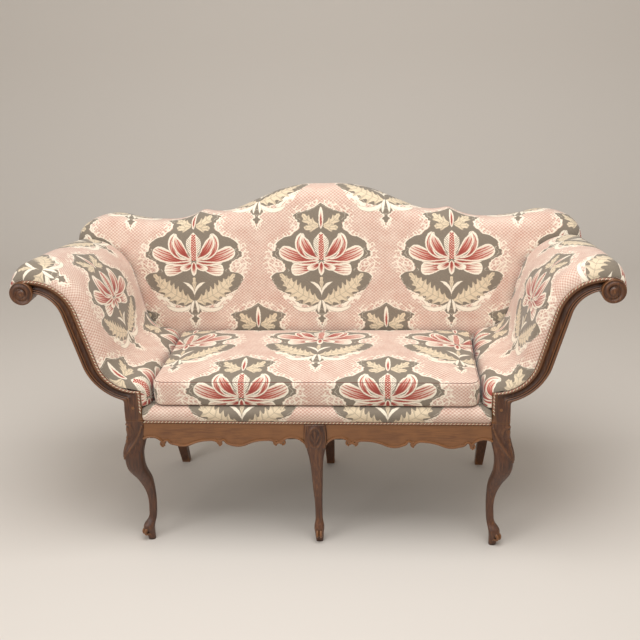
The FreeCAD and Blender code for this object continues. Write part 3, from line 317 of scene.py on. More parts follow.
def tube(line, radii, sides):
    """Points and faces of a round bar along a line in space, with a radius for each of its points."""
    line = np.array(line, float)
    radii = np.broadcast_to(radii, (len(line),))
    ways = np.gradient(line, axis=0)
    ways /= np.linalg.norm(ways, axis=1)[:, None]
    side = np.cross(ways[0], (0.0, 1.0, 0.0))
    if np.linalg.norm(side) < 0.1:
        side = np.cross(ways[0], (0.0, 0.0, 1.0))
    points = []
    for here, way, radius in zip(line, ways, radii):
        side = side - way * np.dot(side, way)
        side /= np.linalg.norm(side)
        up = np.cross(way, side)
        for k in range(sides):
            turn = 2 * math.pi * k / sides
            points.append(here + radius * (math.cos(turn) * side + math.sin(turn) * up))
    return points, bar(len(line), sides)


def run_at(y):
    """Length of the scroll's straight at a depth: it shortens towards the back as the arm falls."""
    start = FRONT + BOARD
    drop = ARM_FALL / math.sin(math.radians(SCROLL_LEAN))
    return SCROLL_RUN - drop * max(0.0, y - start) / (back_y(BACK_MIDDLE) - start)


def scroll_centre():
    """Centre of the scroll's lower arc, across and up."""
    return (SEAT_HALF + SCROLL_START, SCROLL_Z + SCROLL_RADIUS)


def top_centre(run):
    """Centre of the scroll's upper arc, for a length of its straight."""
    end = Path((SEAT_HALF + SCROLL_START, SCROLL_Z)).bend(SCROLL_RADIUS, SCROLL_LEAN).run(run).points[-1]
    return polar(end, SCROLL_TOP, SCROLL_LEAN - 90)


def volute_centre(run):
    """Centre of the volute, which is tangent to the upper arc."""
    return polar(top_centre(run), SCROLL_TOP - VOLUTE, 90 - SCROLL_OVER)


def under_edge(run, inset=0.0):
    """The lower edge of an arm, from the block's outer face up to the volute."""
    low = SCROLL_RADIUS + BAND_LOW - inset
    first, last = scroll_centre(), top_centre(run)
    outer = BLOCK_OUT - inset
    foot = (outer, first[1] - math.sqrt(low ** 2 - (outer - first[0]) ** 2))
    below = polar(first, SCROLL_RADIUS + BAND_RUN - inset, SCROLL_LEAN - 90)
    path = Path(foot).through(polar(first, low + 0.002, -48), below, 22)
    path.to(polar(below, run, SCROLL_LEAN), 18)
    return path.through(polar(last, SCROLL_TOP - BAND_TOP + inset, 135),
                        polar(volute_centre(run), VOLUTE, 185 - math.degrees(inset / VOLUTE)), 26)


def back_outline():
    """The back's outline as seen from the front, round from the middle of its top, in even steps."""
    path = Path((0.0, CREST_TOP))
    for middle, end in CREST:
        path.to(end, 8) if middle is None else path.through(middle, end, 14)
    run = run_at(back_y(BACK_MIDDLE))
    roll = volute_centre(run)
    under = under_edge(run, BACK_EASE).points
    path.through(polar(roll, VOLUTE + ROLL_PAD, 12), polar(roll, VOLUTE + ROLL_PAD, -70), 10)
    path.through(polar(top_centre(run), SCROLL_TOP - BAND_TOP + BACK_EASE, 128), under[40], 14)
    path.to(under[22], 8)
    path.through(under[10], under[0], 12).to((BLOCK_OUT - BACK_EASE, DECK_TOP + CLEAR), 2)
    right = evened(softened(path.points, 2), 0.0075)
    left = right[::-1][:-1] * (-1, 1)
    return np.concatenate([right, left])


def inward(outline):
    """Unit ways into a closed outline at each of its points."""
    ways = np.roll(outline, -1, axis=0) - np.roll(outline, 1, axis=0)
    ways /= np.maximum(np.linalg.norm(ways, axis=1), 1e-9)[:, None]
    normals = np.stack([ways[:, 1], -ways[:, 0]], axis=1)
    for _ in range(6):
        normals = 0.25 * np.roll(normals, 1, axis=0) + 0.5 * normals + 0.25 * np.roll(normals, -1, axis=0)
    return normals / np.linalg.norm(normals, axis=1)[:, None]


def edge_distance(points, outline):
    """Distance of each point from a closed outline."""
    a, b = outline, np.roll(outline, -1, axis=0)
    best = np.full(len(points), 1e9)
    for start, end in zip(a, b):
        way = end - start
        share = np.clip(((points - start) @ way) / max(way @ way, 1e-12), 0, 1)
        best = np.minimum(best, np.linalg.norm(points - start - share[:, None] * way, axis=1))
    return best


def inside(points, outline):
    """Which points lie inside a closed outline."""
    found = np.zeros(len(points), bool)
    for (x0, z0), (x1, z1) in zip(outline, np.roll(outline, -1, axis=0)):
        if z0 != z1:
            hit = ((z0 > points[:, 1]) != (z1 > points[:, 1]))
            found ^= hit & (points[:, 0] < x0 + (points[:, 1] - z0) * (x1 - x0) / (z1 - z0))
    return found


def filled(outline, spacing):
    """Triangles over a closed outline, with points inside it at this spacing."""
    low, high = outline.min(axis=0), outline.max(axis=0)
    rows = np.arange(low[1], high[1], spacing * 0.866)
    spots = np.array([(x + (i % 2) * spacing / 2, z) for i, z in enumerate(rows)
                      for x in np.arange(low[0], high[0], spacing)])
    spots = spots[inside(spots, outline)]
    spots = spots[edge_distance(spots, outline) > 0.6 * spacing]
    count = len(outline)
    every = [Vector(point) for point in np.concatenate([outline, spots])]
    edges = [(i, (i + 1) % count) for i in range(count)]
    made, _, faces, _, _, _ = delaunay_2d_cdt(every, edges, [], 1, 1e-7)
    return np.array([tuple(point) for point in made]), [tuple(face) for face in faces]


def flower_cloth(x, z):
    """Place on the cloth of a spot of the back, with its height measured along the slope."""
    return (x + BACK_FLOWER[0], (z - BACK_FLOWER[1]) * math.hypot(1, BACK_SLOPE))


def added(points, cloth, known, numbers, spots, depths):
    """Add the back's spots that lie on none of the known points; give each spot's number."""
    place = []
    for (x, z), depth in zip(spots, depths):
        near = np.hypot(known[:, 0] - x, known[:, 1] - z)
        nearest = int(near.argmin())
        if near[nearest] < 1e-5:
            place.append(numbers + nearest)
            continue
        place.append(len(points))
        points.append((x, back_y(z, depth), z))
        cloth.append(flower_cloth(x, z))
    return place


def back_upholstery(material):
    """The stuffed back: rounded over its edge and crowned in front."""
    outline = back_outline()
    ways = inward(outline)
    points, cloth = [], []
    widest = outline + ways * BACK_RINGS[-1][0]
    arcs = lengths(np.array(BACK_RINGS))
    for (inset, depth), arc in zip(BACK_RINGS, arcs):
        ring = outline + ways * inset
        out = arcs[-1] - arc
        for (x, z), (wx, wz), (ax, az) in zip(ring, ways, widest):
            points.append((x, back_y(z, depth), z))
            u, v = flower_cloth(ax, az)
            cloth.append((u - wx * out, v - wz * out))
    count = len(outline)
    faces = quads(len(BACK_RINGS), count, True)
    inner, triangles = filled(widest, 0.011)
    gap = edge_distance(inner, widest)
    swell = -BACK_RINGS[-1][1] + BACK_SWELL * (1 - np.exp(-gap / BACK_SWELL_RUN))
    place = added(points, cloth, widest, (len(BACK_RINGS) - 1) * count, inner, -swell)
    faces += [tuple(place[i] for i in face) for face in triangles]
    behind = outline + ways * BACK_RINGS[0][0]
    rear, cap = filled(behind, 0.08)
    place = added(points, cloth, behind, 0, rear, np.full(len(rear), BACK_FRAME))
    faces += [tuple(place[i] for i in face) for face in cap]
    piece = build("back_upholstery", points, faces, cloth)
    return dress(piece, "frame", "damask", material, "back_pad")


def arm_section(swell, y):
    """The stuffing's outer line across an arm at a depth, from beside the cushion to under the roll."""
    run = run_at(y)
    pad, foot, crown = ARM_PAD * swell, ARM_FOOT * swell, ARM_CROWN * swell
    inner = SEAT_HALF - foot
    start = (SEAT_HALF + SCROLL_START, SCROLL_Z + pad)
    shoulder = SCROLL_Z - 0.009
    path = Path((inner, DECK_TOP + CLEAR)).to((inner, shoulder), 8)
    path.through((inner + 0.27 * (start[0] - inner), shoulder + 0.68 * (start[1] - shoulder)), start, 10)
    path.heading = 0.0
    path.bend(SCROLL_RADIUS - pad, SCROLL_LEAN, 20).run(run, 26)
    peak = polar(top_centre(run), SCROLL_TOP + crown, 86)
    over = polar(top_centre(run), SCROLL_TOP + 0.5 * (crown + pad), 128)
    path.through(over, peak, 20)
    roll = volute_centre(run)
    path.through(polar(roll, VOLUTE + ROLL_PAD + 0.36 * crown, 48), polar(roll, VOLUTE + ROLL_PAD, 0), 14)
    path.through(polar(roll, VOLUTE + ROLL_PAD, -ROLL_END / 2), polar(roll, VOLUTE + ROLL_PAD, -ROLL_END), 8)
    return softened(path.points, 6)


def wood_section(y):
    """The hidden side of the arm's stuffing, back along the wood."""
    path = Path((SEAT_HALF, DECK_TOP + CLEAR)).to((SEAT_HALF, SCROLL_Z), 4)
    path.to((SEAT_HALF + SCROLL_START, SCROLL_Z))
    path.heading = 0.0
    path.bend(SCROLL_RADIUS, SCROLL_LEAN, 8).run(run_at(y), 4)
    path.bend(SCROLL_TOP, -SCROLL_LEAN - SCROLL_OVER, 10)
    path.bend(VOLUTE, SCROLL_OVER - 90, 4).bend(VOLUTE, -ROLL_END, 3)
    return np.array(path.points[::-1])


def arm_upholstery(side, material):
    """One stuffed arm: rounded at the front over the scroll board, rolled over at the top."""
    rows, depth_of = [], []
    turns = np.radians(np.linspace(0, 90, 10))
    for turn in turns:
        y = FRONT + COVER_START + (BOARD - COVER_START) * (1 - math.cos(turn))
        swell = max(0.06, math.sin(turn))
        rows.append(np.concatenate([arm_section(swell, y), wood_section(y)]))
        depth_of.append(y)
    near = rows[-1]
    last = back_y(CREST_TOP)
    far = np.concatenate([arm_section(1.0, last), wood_section(last)])
    start, way = FRONT + BOARD, last - FRONT - BOARD
    foot = BACK_FRONT - BACK_SLOPE * APRON_TOP - BACK_PAD - CLEAR
    share = (foot + BACK_SLOPE * near[:, 1] - start) / (way - BACK_SLOPE * (far - near)[:, 1])
    points = [np.stack([row[:, 0], np.full(len(row), y), row[:, 1]], axis=1)
              for row, y in zip(rows, depth_of)]
    shown = len(arm_section(1.0, 0.0))
    steps = 40
    for k in range(1, steps + 1):
        t = (share * k / steps)[:, None]
        flat = near + (far - near) * t
        puff = 0.003 * math.sin(math.pi * k / steps) - 0.006 * max(0.0, (k / steps - 0.9) / 0.1) ** 2
        ways = np.gradient(flat[:shown], axis=0)
        ways /= np.linalg.norm(ways, axis=1)[:, None]
        flat[:shown] += puff * np.stack([-ways[:, 1], ways[:, 0]], axis=1)
        points.append(np.stack([flat[:, 0], start + way * t[:, 0], flat[:, 1]], axis=1))
    grid = np.array(points)
    count = grid.shape[1]
    up = lengths(grid[len(turns) - 1])
    gone = np.cumsum(np.linalg.norm(np.diff(grid, axis=0), axis=2), axis=0)
    along = np.concatenate([[np.zeros(count)], gone])
    along -= along[len(turns) - 1][None, :]
    flower_up, flower_in = ARM_FLOWER[side]
    v = np.broadcast_to(up[None, :], along.shape) - flower_up
    u = along + BOARD - flower_in
    cloth = np.stack([u, v], axis=2).reshape(-1, 2)
    piece = build("arm_upholstery_" + side, grid.reshape(-1, 3), bar(len(grid), count), cloth, side == "left")
    return dress(piece, "frame", "damask", material, "arm_pad_" + side)


def front_border(material):
    """The stuffed strip over the apron, between the two front blocks."""
    low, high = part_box("front_lip")
    half = high.x
    z = low.z
    rear, roof = FRONT + BORDER_DEEP, DECK_TOP - CLEAR
    path = Path((rear, z + 0.020)).to((FRONT + 0.006, z + 0.001), 2).to((FRONT - 0.0005, z + 0.0125), 2)
    path.through((FRONT - 0.006, (z + DECK_TOP) / 2 + 0.008), (FRONT + 0.014, roof), 14)
    path.to((rear, roof), 3)
    section = evened(softened(path.points, 2), count=26)
    middle = (FRONT + 0.02, (z + DECK_TOP) / 2)
    drop = lengths(section)
    points, cloth = [], []
    columns = np.linspace(-half, half, 180)
    for x in columns:
        end = min(1.0, (half - abs(x)) / 0.010)
        keep = BORDER_KEEP + (1 - BORDER_KEEP) * math.sqrt(max(0.0, 1 - (1 - end) ** 2))
        for (y, height), along in zip(section, drop):
            points.append((x, middle[0] + (y - middle[0]) * keep, middle[1] + (height - middle[1]) * keep))
            cloth.append((x, CUSHION_CLOTH - 0.080 - (drop[-1] - along)))
    piece = build("front_border", points, bar(len(columns), len(section)), cloth)
    return dress(piece, "frame", "damask", material, "front_lip")


def cushion_grid(half, front, rear, corner, columns, rows):
    """Points of a rectangle with round corners, as a grid; its sides draw in a little."""
    near_seam = 0.003
    a, b = (np.concatenate([[-1], np.linspace(-1 + near_seam / reach, 1 - near_seam / reach, count - 2), [1]])
            for reach, count in ((half, columns), ((rear - front) / 2, rows)))
    a, b = np.meshgrid(a, b)
    middle, deep = (front + rear) / 2, (rear - front) / 2
    x, y = a * half, b * deep
    dx, dy = np.abs(x) - (half - corner), np.abs(y) - (deep - corner)
    at_corner = (dx > 0) & (dy > 0)
    size = np.where(at_corner, np.maximum(dx, dy) / np.maximum(np.hypot(dx, dy), 1e-9), 1.0)
    x = np.where(at_corner, np.sign(x) * (half - corner + dx * size), x)
    y = np.where(at_corner, np.sign(y) * (deep - corner + dy * size), y)
    x = x * (1 - 0.008 * (1 - b ** 2) * np.abs(a) ** 3)
    y = y * (1 - 0.010 * (1 - a ** 2) * np.abs(b) ** 3)
    return x, y + middle, a, b


def seat_cushion(material):
    """The loose cushion: a crowned top and bottom on a border, swollen by its filling."""
    low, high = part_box("cushion_cover")
    columns, rows = CUSHION_GRID
    seam, foot = low.z + SEAM_RISE, low.z + 0.001
    x, y, a, b = cushion_grid(high.x - CUSHION_INSET, low.y + CUSHION_INSET, high.y - CUSHION_INSET,
                              CUSHION_CORNER, columns, rows)
    crown = np.clip(1 - np.abs(a) ** 2.6, 0, 1) ** 0.5 * np.clip(1 - np.abs(b) ** 2.6, 0, 1) ** 0.5
    top = np.stack([x, y, seam + CUSHION_CROWN * crown], axis=2)
    bottom = np.stack([x, y, np.full_like(x, foot)], axis=2)
    loop = rim(rows, columns)
    edge = top.reshape(-1, 3)[loop][:, :2]
    ways = np.roll(edge, -1, axis=0) - np.roll(edge, 1, axis=0)
    out = np.stack([ways[:, 1], -ways[:, 0]], axis=1)
    out /= np.linalg.norm(out, axis=1)[:, None]
    shares = [0.0, 0.04, *np.linspace(0.14, 0.86, BORDER_ROWS - 3), 0.96, 1.0]
    sides = [np.column_stack([edge + out * 0.003 * math.sin(math.pi * share),
                              np.full(len(edge), seam + (foot - seam) * share)]) for share in shares[1:-1]]
    size = rows * columns
    points = np.concatenate([top.reshape(-1, 3), bottom.reshape(-1, 3), *sides])
    faces = quads(rows, columns)
    faces += [tuple(size + i for i in reversed(face)) for face in quads(rows, columns)]
    around = np.arange(len(loop))
    levels = [loop, *(2 * size + k * len(loop) + around for k in range(len(sides))), size + loop]
    for upper, lower in zip(levels, levels[1:]):
        faces += band(upper, lower)
    cloth = np.zeros((len(points), 2))
    flat_x, flat_y = lengths_over(top)
    cloth[:size] = np.stack([flat_x, flat_y + CUSHION_CLOTH], axis=2).reshape(-1, 2)
    cloth[size:2 * size] = cloth[:size]
    for level, share in zip(levels[1:], shares[1:]):
        cloth[level] = cloth[loop] + out * (seam - low.z) * share
    piece = build("seat_cushion", points, faces, cloth)
    swollen(piece, np.concatenate([levels[0], levels[-1]]), FILLING_CAP, low.z + 0.0004)
    refined = piece.modifiers.new("finer", "SUBSURF")
    refined.levels = refined.render_levels = 1
    sunk_seams(piece, levels, out)
    # A dark tube in each seam paints the shadow of its fold
    seam_shadow_lines(piece, levels)
    return dress(piece, "cushion", "damask", material, "cushion_cover", "cushion_filling")


def seam_shadow_lines(cover, levels):
    """A thin dark tube along each seam of the cushion: painted shadow of the seam's fold, not a real thread.
    """
    parts = []
    for line in (levels[0], levels[-1]):
        run = np.array([cover.data.vertices[int(i)].co for i in [*line, line[0]]])
        parts.append(tube(run, SEAM_SHADOW_RADIUS, 6))
    points, faces = joined(parts)
    piece = build("cushion_seam_shadow_lines", points, faces)
    dress(piece, "cushion", "damask", bpy.data.materials["brown_sewing_thread"])


def lengths_over(grid):
    """Distance over a grid of points, across from its middle column and up from its first row."""
    run, rise = (np.cumsum(np.linalg.norm(np.diff(grid, axis=way), axis=2), axis=way) for way in (1, 0))
    across = np.concatenate([np.zeros((len(grid), 1)), run], axis=1)
    middle = (across[:, -1:] + across[:, :1]) / 2
    up = np.concatenate([np.zeros((1, grid.shape[1])), rise])
    return across - middle, up


def swollen(piece, held, cap, floor):
    """Let the filling press a cover out, with its seams held and no point moved further than the cap."""
    scene = bpy.context.scene
    rest = np.array([v.co for v in piece.data.vertices])
    group = piece.vertex_groups.new(name="seams")
    group.add([int(i) for i in held], 1.0, "REPLACE")
    cloth = piece.modifiers.new("cloth", "CLOTH")
    cloth.settings.use_pressure = True
    cloth.settings.uniform_pressure_force = FILLING_PRESSURE
    cloth.settings.effector_weights.gravity = 0.0
    cloth.settings.tension_stiffness = 12.0
    cloth.settings.bending_stiffness = 0.3
    cloth.settings.vertex_group_mass = "seams"
    cloth.settings.quality = 4
    scene.frame_start, scene.frame_end = 1, FILLING_FRAMES
    for number in range(1, FILLING_FRAMES + 1):
        scene.frame_set(number)
    shape = piece.evaluated_get(bpy.context.evaluated_depsgraph_get()).to_mesh()
    moved = np.array([v.co for v in shape.vertices])
    piece.modifiers.remove(cloth)
    way = moved - rest
    size = np.linalg.norm(way, axis=1)
    way *= (np.minimum(size, cap) / np.maximum(size, 1e-9))[:, None]
    placed = rest + way
    placed[:, 2] = np.maximum(placed[:, 2], floor)
    piece.data.vertices.foreach_set("co", placed.astype(np.float32).ravel())
    piece.data.update()
    piece.vertex_groups.clear()
    scene.frame_set(1)


def sunk_seams(piece, levels, out):
    """Draw the cover in along the two seams of the border."""
    for line in (levels[0], levels[-1]):
        for i, way in zip(line, out):
            vertex = piece.data.vertices[int(i)]
            vertex.co.x -= way[0] * SEAM_SUNK
            vertex.co.y -= way[1] * SEAM_SUNK


def arm_board(side, material):
    """The carved board of an arm: block, channelled scroll with a bead, and volute."""
    upper = Path((SEAT_HALF, LEG_TOP)).to((SEAT_HALF, SCROLL_Z), 12)
    upper.to((SEAT_HALF + SCROLL_START, SCROLL_Z), 2)
    upper.heading = 0.0
    upper.bend(SCROLL_RADIUS, SCROLL_LEAN, 26).run(SCROLL_RUN, 18)
    upper.bend(SCROLL_TOP, -SCROLL_LEAN - SCROLL_OVER, 34)
    under = under_edge(SCROLL_RUN)
    lower = Path((BLOCK_OUT, LEG_TOP)).to(under.points[0], 12)
    upper = np.array(upper.points)
    curve = evened(under.points[:23], count=29)
    lower = np.concatenate([lower.points[:13], curve[1:], under.points[23:41],
                            evened(under.points[40:], count=35)[1:]])
    lower = softened(lower, 2)
    shares = np.array([share for share, _ in BOARD_RELIEF])
    depths = np.array([depth for _, depth in BOARD_RELIEF])
    points = []
    for i, (a, b) in enumerate(zip(upper, lower)):
        plain = min(1.0, max(0.0, (i - 7) / 8.0))
        face = a + (b - a) * shares[:, None]
        for (x, z), depth, share in zip(face, depths, shares):
            rounding = 0.0015 if share in (0.0, 1.0) else 0.0
            points.append((x, FRONT + BOARD_CARVING * depth * plain + rounding * (1 - plain), z))
        for share, back in ((1.0, 0.4), (1.0, 1.0), (0.0, 1.0), (0.0, 0.4)):
            x, z = a + (b - a) * share
            points.append((x, FRONT + BOARD * back, z))
    parts = [(points, bar(len(upper), len(shares) + 4)), volute(volute_centre(SCROLL_RUN))]
    points, faces = joined(parts)
    piece = build("arm_board_" + side, points, faces, None, side == "left")
    return dress(piece, "frame", "walnut", material, "arm_scroll_" + side)


def volute(centre):
    """The end of a scroll: a spiral carved into a round boss, about its eye."""
    turns, around, steps = 2.2, 96, 22
    eye = VOLUTE_EYE / VOLUTE
    points = []
    for share in [r / steps for r in range(steps + 1)]:
        for k in range(around):
            phase = (1 - share) * turns - k / around
            ridge = abs(math.sin(math.pi * phase))
            if share < eye:
                depth = -VOLUTE_PROUD - 0.003 * math.sqrt(max(0.0, 1 - (share / eye) ** 2))
            else:
                depth = -VOLUTE_PROUD + 0.0038 * (1 - ridge ** 1.4) * min(1.0, (1 - share) / 0.08)
            depth += 0.002 * max(0.0, share - 0.94) / 0.06
            x, z = polar(centre, VOLUTE * share, 360 * k / around)
            points.append((x, FRONT + depth, z))
    for depth in (0.004 - VOLUTE_PROUD, BOARD):
        for k in range(around):
            x, z = polar(centre, VOLUTE, 360 * k / around)
            points.append((x, FRONT + depth, z))
    faces = quads(steps + 3, around, True)
    faces.append(tuple(range((steps + 2) * around, (steps + 3) * around)))
    return points, faces


def eased(rows, pieces):
    """More rows between the given ones, on smooth curves over the first column."""
    rows = np.array(rows, float)
    slopes = np.gradient(rows[:, 1:], rows[:, 0], axis=0)
    result = []
    for i in range(len(rows) - 1):
        span = rows[i + 1, 0] - rows[i, 0]
        for k in range(pieces):
            s = k / pieces
            bend = (1 - s) * slopes[i] - s * slopes[i + 1]
            middle = rows[i, 1:] + (rows[i + 1, 1:] - rows[i, 1:]) * s * s * (3 - 2 * s)
            middle = middle + s * (1 - s) * span * bend
            result.append([rows[i, 0] + s * span, *middle])
    return np.array(result + [rows[-1].tolist()])


def squared(wide, deep, corner, around):
    """Points of a soft square, from its right-hand side round to the back."""
    angles = 2 * math.pi * (np.arange(around) + 0.5) / around
    power = 2.0 / max(corner, 0.05) ** 0.8
    c, s = np.cos(angles), np.sin(angles)
    radius = (np.abs(c) ** power + np.abs(s) ** power) ** (-1 / power)
    return np.column_stack([radius * c * wide / 2, radius * s * deep / 2]), angles


def bump(value, middle, width):
    """A smooth hump of height one."""
    return math.exp(-((value - middle) / width) ** 2)


def corner_leg(side, material):
    """A cabriole leg, carved on the knee, with a raised line down its corner and a scrolled toe."""
    around = 64
    middle, depth = SEAT_HALF + BLOCK / 2, FRONT + BLOCK / 2
    rows = eased(CORNER_LEG, 14)
    points = []
    for z, out, width, corner in rows:
        flat, angles = squared(width, width, corner, around)
        for (px, py), angle in zip(flat, angles):
            arc = math.remainder(angle + math.pi / 4, 2 * math.pi) * width * 0.55
            lift = 0.0
            if 0.02 < z < 0.30:
                lift += 0.0016 * bump(arc, 0.0, 0.0022) * min(1.0, (0.30 - z) / 0.02)
            if 0.285 < z < 0.412:
                lift += knee_relief(arc, z)
            grown = 1 + lift / math.hypot(px, py)
            points.append((middle + out + px * grown, depth - out + py * grown, z))
    parts = [(points, bar(len(rows), around))]
    parts += toe_scroll((middle - 0.006, depth + 0.006), (math.sqrt(0.5), -math.sqrt(0.5)))
    points, faces = joined(parts)
    piece = build("carved_leg_" + side, points, faces, None, side == "left")
    return dress(piece, "frame", "walnut", material, "front_leg_" + side)


def knee_relief(arc, z):
    """Carving on a knee: a leaf with a ribbed bud over it."""
    leaf = 0.0
    for turn in (-0.8, 0.0, 0.8):
        reach = (z - 0.292) * math.cos(turn)
        across = arc - (z - 0.292) * math.sin(turn) * 0.55
        if 0 < reach < 0.075:
            width = 0.0078 * math.sin(math.pi * min(1.0, reach / 0.075)) + 0.0010
            leaf = max(leaf, 0.0060 * max(0.0, 1 - (across / width) ** 2))
    bud = max(0.0, 1 - (arc / 0.012) ** 2 - ((z - 0.376) / 0.020) ** 2)
    ring = bump(math.hypot(arc / 0.015, (z - 0.376) / 0.026), 1.0, 0.14) * 0.0036
    return leaf + 0.0046 * math.sqrt(bud) + ring


def toe_scroll(place, way):
    """The two scrolls that a toe ends in, turned outwards."""
    steps = 40
    along, across = np.array([way[0], way[1], 0.0]), np.array([-way[1], way[0], 0.0])
    line = []
    for k in range(steps):
        turn = math.radians(250 - k * 15.5)
        radius = 0.0135 * (1 - 0.68 * k / (steps - 1))
        spot = np.array([*place, 0.030 + radius * math.sin(turn)])
        line.append(spot + along * (0.010 + radius * math.cos(turn)))
    sizes = np.linspace(0.0052, 0.0030, steps)
    return [tube(np.array(line) + across * offset, sizes, 8) for offset in (-0.0052, 0.0052)]


def plain_block(low_corner, high_corner):
    """A plain block between two opposite corners, as points and faces."""
    (x0, y0, z0), (x1, y1, z1) = low_corner, high_corner
    points = [(x, y, z) for z in (z0, z1) for x, y in ((x0, y0), (x1, y0), (x1, y1), (x0, y1))]
    return points, [(0, 1, 2, 3), (4, 5, 6, 7)] + quads(2, 4, True)


def middle_leg(material):
    """The middle front leg, with a framed leaf carved in its head."""
    around = 88
    rows = eased(MIDDLE_LEG_ROWS, 16)
    points = []
    for z, back, wide, deep in rows:
        flat, _ = squared(wide, deep, 0.30 if z > 0.33 else 0.62, around)
        for px, py in flat:
            lift = 0.0
            if py < -0.2 * deep and z > PANEL_FOOT:
                lift = panel_relief(px, z)
            elif py < -0.2 * deep:
                lift = 0.0012 * bump(abs(px), wide * 0.30, 0.0018) * min(1.0, z / 0.05)
            points.append((px, FRONT + back + py - lift, z))
    parts = [(points, bar(len(rows), around))]
    parts.append(plain_block((-MIDDLE_LEG / 2, APRON_FACE + 0.003, APRON_TOP),
                         (MIDDLE_LEG / 2, FRONT + 0.050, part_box("front_leg_middle")[1].z)))
    parts += toe_scroll((0.0, FRONT + 0.036), (0.0, -1.0))
    points, faces = joined(parts)
    piece = build("carved_middle_leg", points, faces)
    return dress(piece, "frame", "walnut", material, "front_leg_middle")


def panel_relief(x, z):
    """Carving on the middle leg's head: an oval frame round a leaf, between two leaning scrolls."""
    height = (z - 0.366) / 0.030
    ring = math.hypot(x / 0.0175, height)
    relief = 0.0042 * bump(ring, 1.0, 0.13)
    if ring < 0.86:
        for turn in (-0.7, 0.0, 0.7):
            reach = (z - 0.343)
            across = x - reach * math.sin(turn) * 0.6
            width = 0.0042 * math.sin(math.pi * min(1.0, max(0.0, reach) / 0.046)) + 0.0005
            relief = max(relief, 0.0036 * max(0.0, 1 - (across / width) ** 2))
    side = abs(x) - 0.0265 - 0.004 * math.cos(height * 1.6)
    return relief + 0.0034 * bump(side, 0.0, 0.0022) * (abs(height) < 1.15)


def apron_point(share, height):
    """A point of the apron's front from its share of the bay and its height."""
    return (MIDDLE_LEG / 2 + share * (SEAT_HALF - MIDDLE_LEG / 2), height)


def apron_edge():
    """The lower edge of the right-hand half of the apron."""
    path = Path(apron_point(*APRON_START))
    for middle, end in APRON_EDGE:
        if middle is None:
            path.to(apron_point(*end), 4)
        else:
            path.through(apron_point(*middle), apron_point(*end), 8)
    edge = np.array(path.points)
    return edge[(edge[:, 0] > MIDDLE_LEG / 2 - 0.004) & (edge[:, 0] < SEAT_HALF + 0.004)]


def apron(side, material):
    """One half of the waved apron, with the bead along its lower edge and the small scrolls at its cusps."""
    edge = apron_edge()
    first, last = edge[0][0], edge[-1][0]
    upper = evened([(last, APRON_TOP), (first, APRON_TOP)], 0.02)
    outline = np.concatenate([edge, [(last, APRON_TOP)], upper[1:]])
    flat, faces = filled(outline, 0.02)
    points = [(x, y, z) for y in (APRON_FACE, APRON_FACE + APRON_THICK) for x, z in flat]
    size = len(flat)
    place = np.array([int(np.hypot(*(flat - spot).T).argmin()) for spot in outline])
    faces = list(faces) + [tuple(size + i for i in reversed(face)) for face in faces]
    parts = [(points, faces + band(size + place, place))]
    parts.append(plain_block((first, APRON_FACE + 0.003, APRON_TOP),
                         (last, APRON_FACE + APRON_THICK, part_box("front_apron_" + side)[1].z)))
    bead = evened(softened(edge, 1), 0.0035)
    bead = bead + inward_open(bead) * 0.0042
    line = np.column_stack([bead[:, 0], np.full(len(bead), APRON_FACE - 0.0003), bead[:, 1]])
    parts.append(tube(line, 0.0040, 8))
    parts += [cusp_scroll(apron_point(*cusp), way) for cusp, way in APRON_CUSPS]
    points, faces = joined(parts)
    piece = build("carved_apron_" + side, points, faces, None, side == "left")
    crease(piece, 32)
    return dress(piece, "frame", "walnut", material, "front_apron_" + side)


def inward_open(line):
    """Unit ways to the left of an open line."""
    ways = np.gradient(line, axis=0)
    ways /= np.maximum(np.linalg.norm(ways, axis=1), 1e-9)[:, None]
    return np.stack([-ways[:, 1], ways[:, 0]], axis=1)


def cusp_scroll(place, way):
    """A little scroll that rolls up from a cusp of the apron."""
    x, z = place
    steps = 26
    line = []
    for k in range(steps):
        turn = math.radians(-90 + way * k * 17)
        radius = 0.0088 * (1 - 0.75 * k / (steps - 1))
        line.append((x + radius * math.cos(turn), APRON_FACE - 0.0006, z + 0.0125 + radius * math.sin(turn)))
    return tube(line, np.linspace(0.0034, 0.0018, steps), 6)


def crease(piece, angle):
    """Keep the edges sharp that turn by more than this."""
    work = bmesh.new()
    work.from_mesh(piece.data)
    for edge in work.edges:
        edge.smooth = edge.calc_face_angle(0.0) < math.radians(angle)
    work.to_mesh(piece.data)
    work.free()


def colour(code):
    """An sRGB hex colour as linear red, green, blue and alpha."""
    parts = [int(code[i:i + 2], 16) / 255 for i in (1, 3, 5)]
    return tuple(p / 12.92 if p <= 0.04045 else ((p + 0.055) / 1.055) ** 2.4 for p in parts) + (1.0,)


def add(tree, kind, settings=None, inputs=None):
    """Add a node with its settings, and with its inputs: values, or sockets to link."""
    node = tree.nodes.new(kind)
    for name, value in (settings or {}).items():
        if name == "points":
            curve = node.mapping.curves[0]
            for _ in value[2:]:
                curve.points.new(0.5, 0.5)
            for point, (x, y) in zip(curve.points, value):
                point.location = (x, y)
                point.handle_type = "AUTO_CLAMPED"
            node.mapping.update()
        elif name == "stops":
            for _ in value[2:]:
                node.color_ramp.elements.new(0.5)
            for stop, (place, shade) in zip(node.color_ramp.elements, value):
                stop.position = place
                stop.color = shade
        else:
            setattr(node, name, value)
    for key, value in (inputs or {}).items():
        if isinstance(value, bpy.types.NodeSocket):
            tree.links.new(value, node.inputs[key])
        else:
            node.inputs[key].default_value = value
    return node


OPERATIONS = {ast.Add: "ADD", ast.Sub: "SUBTRACT", ast.Mult: "MULTIPLY", ast.Div: "DIVIDE", ast.Pow: "POWER",
              ast.Lt: "LESS_THAN", ast.Gt: "GREATER_THAN"}
NAMED = {"abs": "ABSOLUTE", "sin": "SINE", "cos": "COSINE", "sqrt": "SQRT", "max": "MAXIMUM", "wrap": "WRAP",
         "atan2": "ARCTAN2"}


